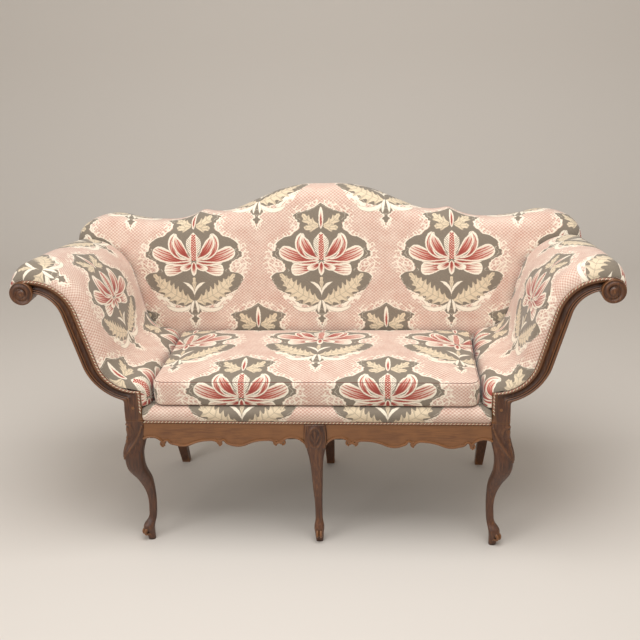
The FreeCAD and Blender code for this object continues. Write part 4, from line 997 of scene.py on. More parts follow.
def formula(tree, text, **values):
    """Turn a formula into Math nodes, and give its result; unit(x) is x held between 0 and 1."""
    def socket(part):
        if isinstance(part, ast.Constant):
            return float(part.value)
        if isinstance(part, ast.Name):
            return values[part.id]
        if isinstance(part, ast.UnaryOp):
            return node("MULTIPLY", (part.operand, ast.Constant(-1.0)))
        if isinstance(part, ast.BinOp):
            return node(OPERATIONS[type(part.op)], (part.left, part.right))
        if isinstance(part, ast.Compare):
            return node(OPERATIONS[type(part.ops[0])], (part.left, part.comparators[0]))
        if part.func.id == "unit":
            return node("ADD", (part.args[0], ast.Constant(0.0)), True)
        return node(NAMED[part.func.id], part.args)

    def node(operation, parts, clamp=False):
        inputs = {i: socket(part) for i, part in enumerate(parts)}
        return add(tree, "ShaderNodeMath", {"operation": operation, "use_clamp": clamp}, inputs).outputs[0]

    return socket(ast.parse(text).body[0].value)


def mixed(tree, share, under, over):
    """Lay one colour over another."""
    return add(tree, "ShaderNodeMix", {"data_type": "RGBA"}, {0: share, 6: under, 7: over}).outputs[2]


def scaled(tree, vector, factor):
    """A place or a colour times a factor."""
    return add(tree, "ShaderNodeVectorMath", {"operation": "SCALE"}, {0: vector, "Scale": factor}).outputs[0]


def noise(tree, place, scale, detail=2.0, **more):
    """Cloudy noise between 0 and 1."""
    inputs = {"Vector": place, "Scale": scale, "Detail": detail, **more}
    return add(tree, "ShaderNodeTexNoise", {}, inputs).outputs[0]


def stretched(tree, place, factors):
    """A place stretched or squeezed along its axes."""
    return add(tree, "ShaderNodeMapping", {}, {"Vector": place, "Scale": factors}).outputs[0]


def ramp(tree, share, *stops):
    """Blend of colours at a share; each stop is a place and an sRGB hex colour."""
    stops = [(place, colour(code)) for place, code in stops]
    return add(tree, "ShaderNodeValToRGB", {"stops": stops}, {0: share}).outputs[0]


def openness(tree, reach):
    """How open a spot lies: 1 in the open, and less in a seam or a hollow within reach."""
    return add(tree, "ShaderNodeAmbientOcclusion", {"samples": 6}, {"Distance": reach}).outputs["AO"]


def bumped(tree, strength, distance, height, **more):
    """A normal that shows a height."""
    inputs = {"Strength": strength, "Distance": distance, "Height": height, **more}
    return add(tree, "ShaderNodeBump", {}, inputs).outputs[0]


def painted(tree, shader, shade, normal=None):
    """Give a shader its colour and its normal."""
    tree.links.new(shade, shader.inputs["Base Color"])
    if normal:
        tree.links.new(normal, shader.inputs["Normal"])


def finish(name, **shader):
    """A new material with a principled shader: its node tree and the shader."""
    material = bpy.data.materials.new(name)
    material.use_nodes = True
    node = material.node_tree.nodes["Principled BSDF"]
    for key, value in shader.items():
        node.inputs[key.replace("_", " ")].default_value = value
    return material, material.node_tree, node


# Outlines of the pattern, as (height, half width) in millimetres from the middle of the flower
FIELD = ((-216, 0), (-204, 4), (-193, 11), (-188, 3), (-183, 5), (-169, 20), (-154, 8), (-152, 38),
         (-146, 58), (-140, 79), (-128, 87), (-118, 98), (-108, 119), (-98, 139), (-88, 156), (-72, 164),
         (-60, 163), (-47, 154), (-41, 138), (-38, 120), (-28, 117), (-14, 121), (-3, 131), (6, 149),
         (18, 160), (26, 157), (31, 148),
         (46, 147), (55, 143), (64, 132), (74, 112), (78, 97), (88, 88), (98, 74), (110, 69), (124, 73),
         (140, 86), (149, 76), (154, 54), (160, 36), (168, 20), (176, 6), (181, 0))
LACE = ((-232, 0), (-222, 12), (-205, 22), (-186, 20), (-170, 34), (-160, 64), (-150, 92), (-136, 112),
        (-120, 136), (-104, 158), (-86, 176), (-60, 181), (-44, 176), (-30, 180), (-10, 186), (10, 184),
        (30, 180), (50, 172), (66, 156), (82, 132), (92, 112), (104, 96), (120, 98), (140, 106), (158, 98),
        (172, 74),
        (184, 40), (192, 0))
# A motif's parts on the right-hand side, from the lowest to the uppermost: where it starts, its first angle,
# length, half width, the angle that it turns through, its profile, and how it is drawn
PETALS = (
    ((5, -136), 10, 152, 27, 50, "leaf", "leaf"),
    ((116, -86), 96, 48, 11, -70, "leaf", "leaf"),
    ((3, -140), -52, 104, 7, 92, "oval", "plain"),
    ((2, -132), -64, 44, 5, -30, "oval", "plain"),
    ((0, -122), 90, 66, 7, 0, "blunt", "leaf"),
    ((0, -116), 86, 62, 5, -74, "flame", "plain"),
    ((14, -22), -14, 86, 21, 14, "blunt", "pale"),
    ((6, -12), -46, 46, 11, 50, "oval", "pale"),
    ((0, -6), -90, 46, 10, 0, "oval", "red"),
    ((6, -6), -12, 92, 8, 22, "oval", "red"),
    ((8, 0), -2, 134, 23, 34, "blunt", "red"),
    ((26, 2), 0, 112, 14, 140, "blunt", "red"),
    ((8, 4), 28, 102, 17, 56, "flame", "red"),
    ((0, -2), 90, 92, 25, 0, "flame", "husk"),
    ((8, 112), 4, 66, 15, 62, "leaf", "leaf"),
    ((8, 108), -22, 50, 12, 34, "leaf", "leaf"),
    ((0, 98), 90, 72, 8, 0, "oval", "red"),
)
PROFILES = {
    "leaf": ((0.0, 0.12), (0.12, 0.55), (0.35, 0.95), (0.6, 0.98), (0.85, 0.6), (1.0, 0.0)),
    "oval": ((0.0, 0.0), (0.08, 0.5), (0.28, 0.9), (0.5, 1.0), (0.75, 0.85), (0.93, 0.45), (1.0, 0.0)),
    "blunt": ((0.0, 0.1), (0.25, 0.42), (0.55, 0.85), (0.78, 1.0), (0.92, 0.8), (1.0, 0.0)),
    "flame": ((0.0, 0.15), (0.2, 0.55), (0.45, 0.95), (0.62, 1.0), (0.82, 0.62), (1.0, 0.0)),
}


def outline_curve(tree, height, points):
    """Half width of one of the pattern's outlines at a height, in millimetres."""
    low, high = points[0][0], points[-1][0]
    wide = max(width for _, width in points)
    share = formula(tree, "(y - low) / span", y=height, low=float(low), span=float(high - low))
    spots = [((y - low) / (high - low), width / wide) for y, width in points]
    half = add(tree, "ShaderNodeFloatCurve", {"points": spots}, {"Value": share}).outputs[0]
    return formula(tree, "half * wide - 3 * (share < 0) - 3 * (share > 1)", half=half, wide=float(wide),
                   share=share)


class Layers:
    """The damask's colour, laid layer over layer on a place that is measured from the flower's middle."""

    def __init__(self, tree, shades, x, y, cloth):
        self.tree, self.shades, self.x, self.y, self.cloth = tree, shades, x, y, cloth
        self.spot = add(tree, "ShaderNodeCombineXYZ", {}, {0: x, 1: y}).outputs[0]

    def of(self, text, **values):
        """A formula of the place, which it calls x and y."""
        return formula(self.tree, text, x=self.x, y=self.y, **values)

    def lay(self, shade, share):
        """Lay a shade over the cloth, by its share."""
        self.cloth = mixed(self.tree, share, self.cloth, self.shades[shade])


def cloth_place(tree):
    """Place on the flat cloth in millimetres, with threads that waver a little."""
    flat = scaled(tree, add(tree, "ShaderNodeUVMap", {"uv_map": "cloth"}).outputs[0], 1000.0)
    waver = add(tree, "ShaderNodeTexNoise", {}, {"Vector": flat, "Scale": 0.16}).outputs["Color"]
    waver = add(tree, "ShaderNodeVectorMath", {"operation": "SUBTRACT"},
                {0: waver, 1: (0.5, 0.5, 0.5)}).outputs[0]
    return add(tree, "ShaderNodeVectorMath", {"operation": "MULTIPLY_ADD"},
               {0: waver, 1: (3.2, 3.2, 0.0), 2: flat}).outputs[0]


def half_drop(tree, across, up, wide, high):
    """The place from the nearer of the two half-drop flowers, folded about its upright axis."""
    x0 = formula(tree, "abs(wrap(u, half, low))", u=across, half=wide / 2, low=-wide / 2)
    y0 = formula(tree, "wrap(v, half, low)", v=up, half=high / 2, low=-high / 2)
    y1 = formula(tree, "wrap(v + half, half, low)", v=up, half=high / 2, low=-high / 2)
    near = formula(tree, "(cos(x * a) + cos((y - 6) * b)) > 0", x=x0, y=y0, a=2 * math.pi / wide,
                   b=2 * math.pi / high)
    x = formula(tree, "near * x0 + (1 - near) * (half - x0)", near=near, x0=x0, half=wide / 2)
    y = formula(tree, "near * y0 + (1 - near) * y1", near=near, y0=y0, y1=y1)
    return x, y


def lay_lace(layers, beyond):
    """Lay a cream line, rows of curls and an arch round the medallion; beyond is the way out from it."""
    half = outline_curve(layers.tree, layers.y, LACE)
    curls = layers.of("unit(2.7 - 7 * abs(sin(0.17 * x + 1.5 * sin(0.11 * y))"
                      " * sin(0.19 * y + 1.5 * sin(0.10 * x)) - 0.28))")
    line = layers.of("unit(2.0 - 0.55 * abs(e - 4))", e=beyond)
    lace = layers.of("unit((half + 7 * sin(y * 0.36 + x * 0.2) - x) * 0.5) * (e > 0)", half=half, e=beyond)
    layers.lay("cream", layers.of("b * max(0.85 * c, l)", b=lace, c=curls, l=line))
    layers.lay("cream", layers.of("unit(3.6 - 0.5 * abs(sqrt((x - 116) ** 2 + (y + 166) ** 2) - 43))"
                                  " * (y > (0 - 158))"))


def lay_medallion(layers, half):
    """Lay the medallion, scalloped on top, with a thin cream line drawn in it."""
    inner = layers.of("half + 3.5 * abs(sin(x * 0.15)) * (y > 120) + 2 * sin(y * 0.4 + x * 0.3) - x",
                      half=half)
    layers.lay("taupe", layers.of("unit(f * 0.7 + 0.5)", f=inner))
    line = layers.of("unit(1.1 - 0.7 * abs(f - 9 - 3 * sin(y * 0.11)))"
                     " * (sin(y * 0.07 + x * 0.05) > (0 - 0.3))", f=inner)
    layers.lay("cream", layers.of("0.55 * r", r=line))


def lay_petal(layers, start, angle, length, half, turn, profile, drawn):
    """Lay one part of the motif: a petal or a leaf along an arc, which a very large radius makes straight."""
    tree = layers.tree
    turned = add(tree, "ShaderNodeMapping", {"vector_type": "TEXTURE"},
                 {"Vector": layers.spot, "Location": (*start, 0.0),
                  "Rotation": (0.0, 0.0, math.radians(angle)),
                  "Scale": (1.0, -1.0 if turn < 0 else 1.0, 1.0)}).outputs[0]
    local = add(tree, "ShaderNodeSeparateXYZ", {}, {0: turned}).outputs
    radius = length / math.radians(max(abs(turn), 0.5))
    rise = layers.of("r - v", r=radius, v=local[1])
    along = layers.of("atan2(u, h) * k", u=local[0], h=rise, k=radius / length)
    width = add(tree, "ShaderNodeFloatCurve", {"points": PROFILES[profile]}, {"Value": along}).outputs[0]
    aside = layers.of("abs(r - sqrt(u * u + h * h)) * k", r=radius, u=local[0], h=rise, k=1.0 / half)
    aside = layers.of("a + 9 * (s < 0) + 9 * (s > 1)", a=aside, s=along)
    lobes = length / 3.3
    if drawn == "leaf":
        aside = layers.of("a * (1.25 + 0.38 * sin(n * s - 3.5 * a))", a=aside, s=along, n=lobes)
    depth = layers.of("(w - a) * half", w=width, a=aside, half=float(half))
    layers.lay("leaf" if drawn == "leaf" else "cream", layers.of("unit(d * 0.7 + 0.5)", d=depth))
    if drawn == "leaf":
        vein = layers.of("unit(d) * max(unit(1.1 - h * a), unit(2.6 * sin(n * s - 3.5 * a + 2.4) - 2.0))"
                         " * (s > 0.06) * (s < 0.9)", a=aside, s=along, d=depth, h=0.8 * half, n=lobes)
        layers.lay("taupe", layers.of("0.7 * v", v=vein))
    if drawn in ("red", "pale"):
        # Streaks run from the petal's foot towards its tip and leave a cream rim
        streak = layers.of("unit(f - 1.5 * s + 0.4 * sin(a * h * 0.9 + 4 * s))", a=aside, s=along,
                           h=float(half), f=1.4 if drawn == "pale" else 1.8)
        layers.lay("red", layers.of("unit((d - 4 - 4 * s * s) * 0.3 + 0.6) * k", d=depth, k=streak, s=along))
        layers.lay("garnet", layers.of("0.8 * unit((d - 4) * 0.4) * unit(1.7 - 3.0 * s)", d=depth, s=along))
    layers.lay("taupe", layers.of("0.7 * unit(1.0 - 0.8 * abs(d))", d=depth))


def lay_heart(layers):
    """Lay the seeded heart of the flower, in its ribbed husk."""
    ribs = layers.of("(sin((y - 0.9 * x) * 0.9) > 0) * (x > 10) * (x < 23) * (y > 10) * (y < 70)")
    layers.lay("taupe", layers.of("0.7 * r", r=ribs))
    heart = layers.of("unit((9 - 0.06 * abs(y - 36) - x) * 0.7 + 0.5) * (y < 82) * (y > (0 - 2))")
    seeds = layers.of("unit(3 * cos(y * 0.785) * cos(x * 0.7) - 0.9)")
    layers.lay("red", heart)
    layers.lay("cream", layers.of("s * h", s=seeds, h=heart))


def damask(settings):
    """Woven cotton damask: matt figures of cream, taupe and red on a dotted rose ground, in a half drop, with
    painted shade in its seams and folds.
    """
    material, tree, shader = finish("woven_cotton_damask", Roughness=0.86, Sheen_Weight=0.25,
                                    Sheen_Roughness=0.4, Specular_IOR_Level=0.25)
    shades = {name: colour(getattr(settings, name))
              for name in ("rose", "blush", "cream", "leaf", "taupe", "red", "garnet")}
    flat = cloth_place(tree)
    across, up = add(tree, "ShaderNodeSeparateXYZ", {}, {0: flat}).outputs[:2]
    x, y = half_drop(tree, across, up, settings.repeat_width * 1000, settings.repeat_height * 1000)

    # Ground: rose dots on a blush cloth, 6 mm apart and staggered
    dots = formula(tree, "0.5 + 0.5 * sin(6.283 * u / 12) * sin(6.283 * v / 10)", u=across, v=up)
    share = formula(tree, "unit(0.9 * z + 0.7 * d - 0.38)", z=dots, d=noise(tree, flat, 0.02, 3.0))
    layers = Layers(tree, shades, x, y, mixed(tree, share, shades["blush"], shades["rose"]))

    # Figures, from the lowest layer to the uppermost
    half = outline_curve(tree, y, FIELD)
    lay_lace(layers, layers.of("x - half", half=half))
    lay_medallion(layers, half)
    for petal in PETALS:
        lay_petal(layers, *petal)
    lay_heart(layers)

    # Weave: uneven threads, drawn at 3 mm, lighten and darken the cloth and raise it a little; painted shade
    # darkens it in seams, folds and hollows
    weave = noise(tree, stretched(tree, flat, (0.16, 0.42, 1.0)), 1.0)
    # Painted shade: the cloth's colour is darkened where a spot is hemmed in within 25 mm, in seams, folds
    # and between pieces
    tone = formula(tree, "(0.80 + 0.40 * w) * (0.66 + 0.34 * s)", w=weave, s=openness(tree, 0.025))
    hollows = bumped(tree, 0.55, 0.012, noise(tree, flat, 0.013, 1.5))
    threads = bumped(tree, 0.35, 0.0012, formula(tree, "0.6 * z + w", z=dots, w=weave), Normal=hollows)
    painted(tree, shader, scaled(tree, layers.cloth, tone), threads)
    return material


def walnut(name, settings, along, pale):
    """Waxed walnut: brown with darker streaks along its grain, and the dark wax colour laid in the carving
    and where other parts come near, partly old wax and partly painted shade.
    """
    material, tree, shader = finish(name, Roughness=0.42, Coat_Weight=0.15, Coat_Roughness=0.35)
    spot = add(tree, "ShaderNodeTexCoord").outputs["Object"]
    # Streaks are 4 mm across and ten times as long
    stretch = [240.0, 240.0, 240.0]
    stretch[along] = 22.0
    streaks = noise(tree, stretched(tree, spot, stretch), 1.0, 5.0, Roughness=0.6, Distortion=0.5)
    blend = formula(tree, "unit(1.5 * s + 0.8 * c + p - 0.65)", s=streaks, c=noise(tree, spot, 11.0), p=pale)
    wood = ramp(tree, blend, (0.0, settings.dark), (0.5, settings.middle), (1.0, settings.light))
    # Wax colour laid where a spot is hemmed in within 12 mm: old wax in the carving, and painted shade in
    # hollows and where parts meet
    wax_and_shade = formula(tree, "unit(1.9 - 2.1 * h)", h=openness(tree, 0.012))
    wood = mixed(tree, wax_and_shade, wood, colour(settings.wax))
    # Edges and the high parts of the carving are rubbed pale
    edge = add(tree, "ShaderNodeNewGeometry").outputs["Pointiness"]
    wood = mixed(tree, formula(tree, "0.75 * unit(16 * e - 8.25)", e=edge), wood, colour(settings.light))
    painted(tree, shader, wood, bumped(tree, 0.25, 0.0005, streaks))
    return material


def plain_weave(name, warp, weft, thread):
    """A plain cloth of two thread colours, one over the other."""
    material, tree, shader = finish(name, Roughness=0.9)
    spot = add(tree, "ShaderNodeTexCoord").outputs["Object"]
    x, y, z = add(tree, "ShaderNodeSeparateXYZ", {}, {0: spot}).outputs
    over = formula(tree, "0.5 + 0.5 * sin((x + z * 0.31) * t) * sin((y + z) * t)", x=x, y=y, z=z,
                   t=math.pi / thread)
    share = formula(tree, "unit(0.6 * o + 0.8 * f - 0.2)", o=over, f=noise(tree, spot, 90.0, 3.0))
    painted(tree, shader, mixed(tree, share, colour(warp), colour(weft)),
            bumped(tree, 0.5, thread * 0.4, over))
    return material


def yarn(name, shade):
    """Twisted cotton yarn, matt, a little uneven in its colour."""
    material, tree, shader = finish(name, Roughness=0.85, Sheen_Weight=0.2)
    spot = add(tree, "ShaderNodeTexCoord").outputs["Object"]
    tone = formula(tree, "0.65 + 0.7 * f", f=noise(tree, spot, 260.0))
    painted(tree, shader, scaled(tree, colour(shade)[:3], tone))
    return material


def beech():
    """Planed beech, unfinished and darkened by age, with short flecks along the grain."""
    material, tree, shader = finish("planed_beech", Roughness=0.6)
    spot = add(tree, "ShaderNodeTexCoord").outputs["Object"]
    flecks = noise(tree, stretched(tree, spot, (40.0, 300.0, 300.0)), 1.0, 4.0)
    painted(tree, shader, ramp(tree, flecks, (0.3, "#7A5636"), (0.7, "#9A724C")))
    return material


def steel():
    """Steel of the screws and tacks, drawn and plain."""
    material, tree, shader = finish("drawn_steel", Metallic=1.0, Roughness=0.38)
    spot = add(tree, "ShaderNodeTexCoord").outputs["Object"]
    painted(tree, shader, ramp(tree, noise(tree, spot, 400.0), (0.3, "#6E6A64"), (0.7, "#9A958C")))
    return material


def plain_object(name, points, edges):
    """A wire object that a node tree works on."""
    mesh = bpy.data.meshes.new(name)
    mesh.from_pydata([tuple(map(float, point)) for point in points], edges, [])
    piece = bpy.data.objects.new(name, mesh)
    bpy.context.scene.collection.objects.link(piece)
    return piece


def braid_tree():
    """Node tree: two yarns of alternate colours twisted round a line, as slanted stitches."""
    tree = bpy.data.node_groups.new("twisted_braid", "GeometryNodeTree")
    face = tree.interface
    face.new_socket("Line", in_out="INPUT", socket_type="NodeSocketGeometry")
    for name, value in (("Pitch", 0.0052), ("Stitch Length", 0.0092), ("Stitch Width", 0.0030),
                        ("Slant", 0.62)):
        face.new_socket(name, in_out="INPUT", socket_type="NodeSocketFloat").default_value = value
    face.new_socket("First Yarn", in_out="INPUT", socket_type="NodeSocketMaterial")
    face.new_socket("Second Yarn", in_out="INPUT", socket_type="NodeSocketMaterial")
    face.new_socket("Braid", in_out="OUTPUT", socket_type="NodeSocketGeometry")
    given = add(tree, "NodeGroupInput").outputs
    line = add(tree, "GeometryNodeMeshToCurve", {}, {0: given["Line"]}).outputs[0]
    even = add(tree, "GeometryNodeResampleCurve", {"mode": "LENGTH"},
               {"Curve": line, "Length": given["Pitch"]}).outputs[0]
    tangent = add(tree, "GeometryNodeInputTangent").outputs[0]
    facing = add(tree, "FunctionNodeAlignRotationToVector", {"axis": "Z"},
                 {"Vector": (0.0, -1.0, 0.0)}).outputs[0]
    lying = add(tree, "FunctionNodeAlignRotationToVector", {"axis": "X", "pivot_axis": "Z"},
                {"Rotation": facing, "Vector": tangent}).outputs[0]
    slant = add(tree, "ShaderNodeCombineXYZ", {}, {2: given["Slant"]}).outputs[0]
    slanted = add(tree, "FunctionNodeEulerToRotation", {}, {0: slant}).outputs[0]
    turned = add(tree, "FunctionNodeRotateRotation", {"rotation_space": "LOCAL"},
                 {0: lying, 1: slanted}).outputs[0]
    ball = add(tree, "GeometryNodeMeshUVSphere", {}, {"Segments": 8, "Rings": 6, "Radius": 0.5}).outputs[0]
    size = add(tree, "ShaderNodeCombineXYZ", {}, {0: given["Stitch Length"], 1: given["Stitch Width"],
                                                  2: given["Stitch Width"]}).outputs[0]
    number = add(tree, "GeometryNodeInputIndex").outputs[0]
    odd = add(tree, "ShaderNodeMath", {"operation": "MODULO"}, {0: number, 1: 2.0}).outputs[0]
    even_one = add(tree, "ShaderNodeMath", {"operation": "SUBTRACT"}, {0: 1.0, 1: odd}).outputs[0]
    merged = add(tree, "GeometryNodeJoinGeometry")
    for pick, yarn_name in ((odd, "First Yarn"), (even_one, "Second Yarn")):
        stitches = add(tree, "GeometryNodeInstanceOnPoints", {}, {"Points": even, "Selection": pick,
                       "Instance": ball, "Rotation": turned, "Scale": size}).outputs[0]
        real = add(tree, "GeometryNodeRealizeInstances", {}, {0: stitches}).outputs[0]
        smooth = add(tree, "GeometryNodeSetShadeSmooth", {}, {0: real}).outputs[0]
        coloured = add(tree, "GeometryNodeSetMaterial", {},
                       {0: smooth, "Material": given[yarn_name]}).outputs[0]
        tree.links.new(coloured, merged.inputs[0])
    done = add(tree, "NodeGroupOutput")
    tree.links.new(merged.outputs[0], done.inputs[0])
    return tree


def settled(piece, tree, name, **inputs):
    """Run a node tree on a wire object and give its result as a plain mesh object."""
    modifier = piece.modifiers.new("made", "NODES")
    modifier.node_group = tree
    sockets = {item.name: item.identifier for item in tree.interface.items_tree if item.in_out == "INPUT"}
    for key, value in inputs.items():
        modifier[sockets[key.replace("_", " ")]] = value
    seen = piece.evaluated_get(bpy.context.evaluated_depsgraph_get())
    mesh = bpy.data.meshes.new_from_object(seen)
    result = bpy.data.objects.new(name, mesh)
    mesh.name = name
    bpy.context.scene.collection.objects.link(result)
    bpy.data.objects.remove(piece)
    return result


def braid(name, line, tree, yarns, node, flip=False):
    """A braid along a line in space."""
    line = np.array(line, float) * ((-1, 1, 1) if flip else (1, 1, 1))
    wire = plain_object(name + "_line", line, [(i, i + 1) for i in range(len(line) - 1)])
    piece = settled(wire, tree, name, First_Yarn=yarns[0], Second_Yarn=yarns[1])
    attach(piece, "frame")
    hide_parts(node)
    return piece


def arm_gimp_line():
    """Middle of the braid on a scroll board's face, along the cover's edge."""
    start = SCROLL_Z - 0.003
    path = Path((SEAT_HALF + 0.006, LEG_TOP + 0.030)).to((SEAT_HALF + 0.006, start - 0.004), 10)
    path.through((SEAT_HALF + 0.0075, start - 0.0005), (SEAT_HALF + SCROLL_START, start), 4)
    path.heading = 0.0
    path.bend(SCROLL_RADIUS + 0.003, SCROLL_LEAN, 40).run(SCROLL_RUN, 40)
    path.bend(SCROLL_TOP - 0.003, -SCROLL_LEAN - SCROLL_OVER + 6, 60)
    flat = evened(path.points, 0.004)
    return np.column_stack([flat[:, 0], np.full(len(flat), FRONT - BRAID_OUT), flat[:, 1]])


def thickened(piece):
    """Give a cover the thickness of its cloth."""
    wall = piece.modifiers.new("cloth", "SOLIDIFY")
    wall.thickness = COVER_THICK
    wall.offset = 0.0


def stretched_cover(name, front_line, rear_line, material, flip, node):
    """A cover pulled flat between two lines in space, with its cloth's thickness behind it."""
    steps = 30
    grid = np.array([front_line + (rear_line - front_line) * k / steps for k in range(steps + 1)])
    faces = quads(len(grid), grid.shape[1])
    u, v = lengths_over(np.swapaxes(grid, 0, 1))
    cloth = np.stack([u.T, v.T], axis=2).reshape(-1, 2)
    piece = build(name, grid.reshape(-1, 3), faces, cloth, flip)
    thickened(piece)
    size = (float(u.max() - u.min()), float(v.max() - v.min()))
    dress(piece, "frame", "damask", material, node)
    return piece, size


def arm_outside(side, material):
    """The flat outer cover of an arm, from the scroll board to the back."""
    ease = 0.0010
    near = np.array(under_edge(run_at(FRONT + BOARD), ease).points)
    last = back_y(CREST_TOP)
    far = np.array(under_edge(run_at(last), ease).points)
    foot = [(BLOCK_OUT - ease, LEG_TOP + 0.001), (BLOCK_OUT - ease, (LEG_TOP + near[0][1]) / 2)]
    near, far = np.concatenate([foot, near]), np.concatenate([foot, far])
    start, way = FRONT + BOARD + 0.0005, last - FRONT - BOARD
    base = BACK_FRONT - BACK_SLOPE * APRON_TOP + BACK_FRAME
    share = (base + BACK_SLOPE * near[:, 1] - start) / (way - BACK_SLOPE * (far - near)[:, 1])
    flat = near + (far - near) * share[:, None]
    first = np.column_stack([near[:, 0], np.full(len(near), start), near[:, 1]])
    rear = np.column_stack([flat[:, 0], start + way * share, flat[:, 1]])
    piece, size = stretched_cover("arm_outside_cover_dressed_" + side, first, rear, material, side == "left",
                                  "arm_outside_cover_" + side)
    return piece


def outside_back(material):
    """The outside cover of the back, stretched over the frame."""
    outline = back_outline()
    ways = inward(outline)
    flat, faces = filled(outline + ways * 0.0025, 0.03)
    low = flat[:, 1] < DECK_TOP + 0.02
    flat[low, 1] = flat[low, 1] - (DECK_TOP - APRON_TOP) * (1 - (flat[low, 1] - DECK_TOP) / 0.02)
    gap = edge_distance(flat, outline)
    bulge = 0.0018 * (1 - np.exp(-gap / 0.05))
    points = [(x, back_y(z, BACK_FRAME + COVER_THICK + b), z) for (x, z), b in zip(flat, bulge)]
    cloth = [flower_cloth(-x, z) for x, z in flat]
    piece = build("outside_back_cover", points, faces, cloth)
    thickened(piece)
    dress(piece, "frame", "damask", material, "outside_back")
    return piece


def deck(material):
    """The platform under the loose cushion: calico over the seat's stuffing, a little domed."""
    low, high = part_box("deck_cover")
    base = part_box("seat_stuffing")[0].z
    columns, rows = 60, 30
    a, b = np.meshgrid(np.linspace(-1, 1, columns), np.linspace(-1, 1, rows))
    x = a * high.x
    y = (low.y + high.y) / 2 + b * (high.y - low.y) / 2
    dome = -0.006 * np.maximum(np.abs(a) ** 12, np.abs(b) ** 8)
    top = np.stack([x, y, high.z + dome], axis=2).reshape(-1, 3)
    bottom = np.stack([x, y, np.full_like(x, base)], axis=2).reshape(-1, 3)
    size = rows * columns
    faces = quads(rows, columns) + [tuple(size + i for i in reversed(face)) for face in quads(rows, columns)]
    loop = rim(rows, columns)
    faces += band(loop, size + loop)
    piece = build("seat_deck", np.concatenate([top, bottom]), faces)
    return dress(piece, "frame", "calico", material, "deck_cover", "seat_stuffing")


class SetteeCloth(bpy.types.PropertyGroup):
    """Sizes and colours of the damask."""
    repeat_width: bpy.props.FloatProperty(name="Repeat width", description="Width of the pattern's repeat",
                                          default=0.420, unit="LENGTH")
    repeat_height: bpy.props.FloatProperty(name="Repeat height", description="Height of the pattern's repeat",
                                           default=0.646, unit="LENGTH")
    rose: bpy.props.StringProperty(name="Rose", description="Dark thread of the ground, sRGB",
                                   default="#B98574")
    blush: bpy.props.StringProperty(name="Blush", description="Light thread of the ground, sRGB",
                                    default="#E4D1C0")
    cream: bpy.props.StringProperty(name="Cream", description="Lace and petal rims, sRGB", default="#F0E4D0")
    leaf: bpy.props.StringProperty(name="Leaf", description="Leaves in the medallion, sRGB",
                                   default="#DCC9AC")
    taupe: bpy.props.StringProperty(name="Taupe", description="Medallion behind the flower, sRGB",
                                    default="#83786A")
    red: bpy.props.StringProperty(name="Red", description="Petals and heart, sRGB", default="#B0574A")
    garnet: bpy.props.StringProperty(name="Garnet", description="Foot of each petal, sRGB",
                                     default="#93423A")


class SetteeWood(bpy.types.PropertyGroup):
    """Colours of the walnut."""
    dark: bpy.props.StringProperty(name="Dark", description="Dark streaks, sRGB", default="#2F190D")
    middle: bpy.props.StringProperty(name="Middle", description="Body of the wood, sRGB", default="#56311A")
    light: bpy.props.StringProperty(name="Light", description="Light streaks, sRGB", default="#86572F")
    # The wax colour also paints the shade in hollows and where parts meet
    wax: bpy.props.StringProperty(name="Wax", description="Old wax in the carving, sRGB", default="#1A0E07")


class SETTEE_OT_materials(bpy.types.Operator):
    """Make the finishes that the other steps use"""
    bl_idname = "settee.materials"
    bl_label = "Finishes"

    def execute(self, context):
        scene = context.scene
        damask(scene.settee_cloth)
        walnut("waxed_walnut_upright", scene.settee_wood, 2, -0.08)
        walnut("waxed_walnut_level", scene.settee_wood, 0, 0.2)
        yarn("rose_cotton_yarn", "#B07A68")
        yarn("cream_cotton_yarn", "#D9C6A8")
        # Dark brown of the painted shadow tubes in the cushion's seams, made with the yarn finish
        yarn("brown_sewing_thread", "#6A4034")
        plain_weave("unbleached_calico", "#CFC3AC", "#B9AB92", 0.0016)
        plain_weave("jute_hessian", "#9C7F55", "#7E6440", 0.0030)
        plain_weave("jute_webbing", "#A98D62", "#6E5434", 0.0026)
        plain_weave("black_dust_cotton", "#26231F", "#191715", 0.0012)
        beech()
        steel()
        return {"FINISHED"}


class SETTEE_OT_upholstery(bpy.types.Operator):
    """Make the stuffed back, the arms and the border over the apron"""
    bl_idname = "settee.upholstery"
    bl_label = "Back, arms and border"

    def execute(self, context):
        cloth = bpy.data.materials["woven_cotton_damask"]
        back_upholstery(cloth)
        for side in ("left", "right"):
            arm_upholstery(side, cloth)
        front_border(cloth)
        deck(bpy.data.materials["unbleached_calico"])
        return {"FINISHED"}


class SETTEE_OT_cushion(bpy.types.Operator):
    """Make the loose seat cushion"""
    bl_idname = "settee.cushion"
    bl_label = "Seat cushion"

    def execute(self, context):
        seat_cushion(bpy.data.materials["woven_cotton_damask"])
        return {"FINISHED"}


class SETTEE_OT_outside(bpy.types.Operator):
    """Make the outside covers of the arms and the back"""
    bl_idname = "settee.outside"
    bl_label = "Outside covers"

    def execute(self, context):
        cloth = bpy.data.materials["woven_cotton_damask"]
        for side in ("left", "right"):
            arm_outside(side, cloth)
        outside_back(cloth)
        return {"FINISHED"}


class SETTEE_OT_gimp(bpy.types.Operator):
    """Twist the braid along the scroll boards and the apron"""
    bl_idname = "settee.gimp"
    bl_label = "Braid"

    def execute(self, context):
        yarns = [bpy.data.materials[name] for name in ("rose_cotton_yarn", "cream_cotton_yarn")]
        tree = braid_tree()
        for side in ("left", "right"):
            braid("arm_braid_" + side, arm_gimp_line(), tree, yarns, "arm_gimp_" + side, side == "left")
        low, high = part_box("front_gimp")
        line = [(x, low.y + BRAID_IN, (low.z + high.z) / 2)
                for x in np.linspace(low.x + 0.004, high.x - 0.004, 40)]
        braid("front_braid", line, tree, yarns, "front_gimp")
        return {"FINISHED"}


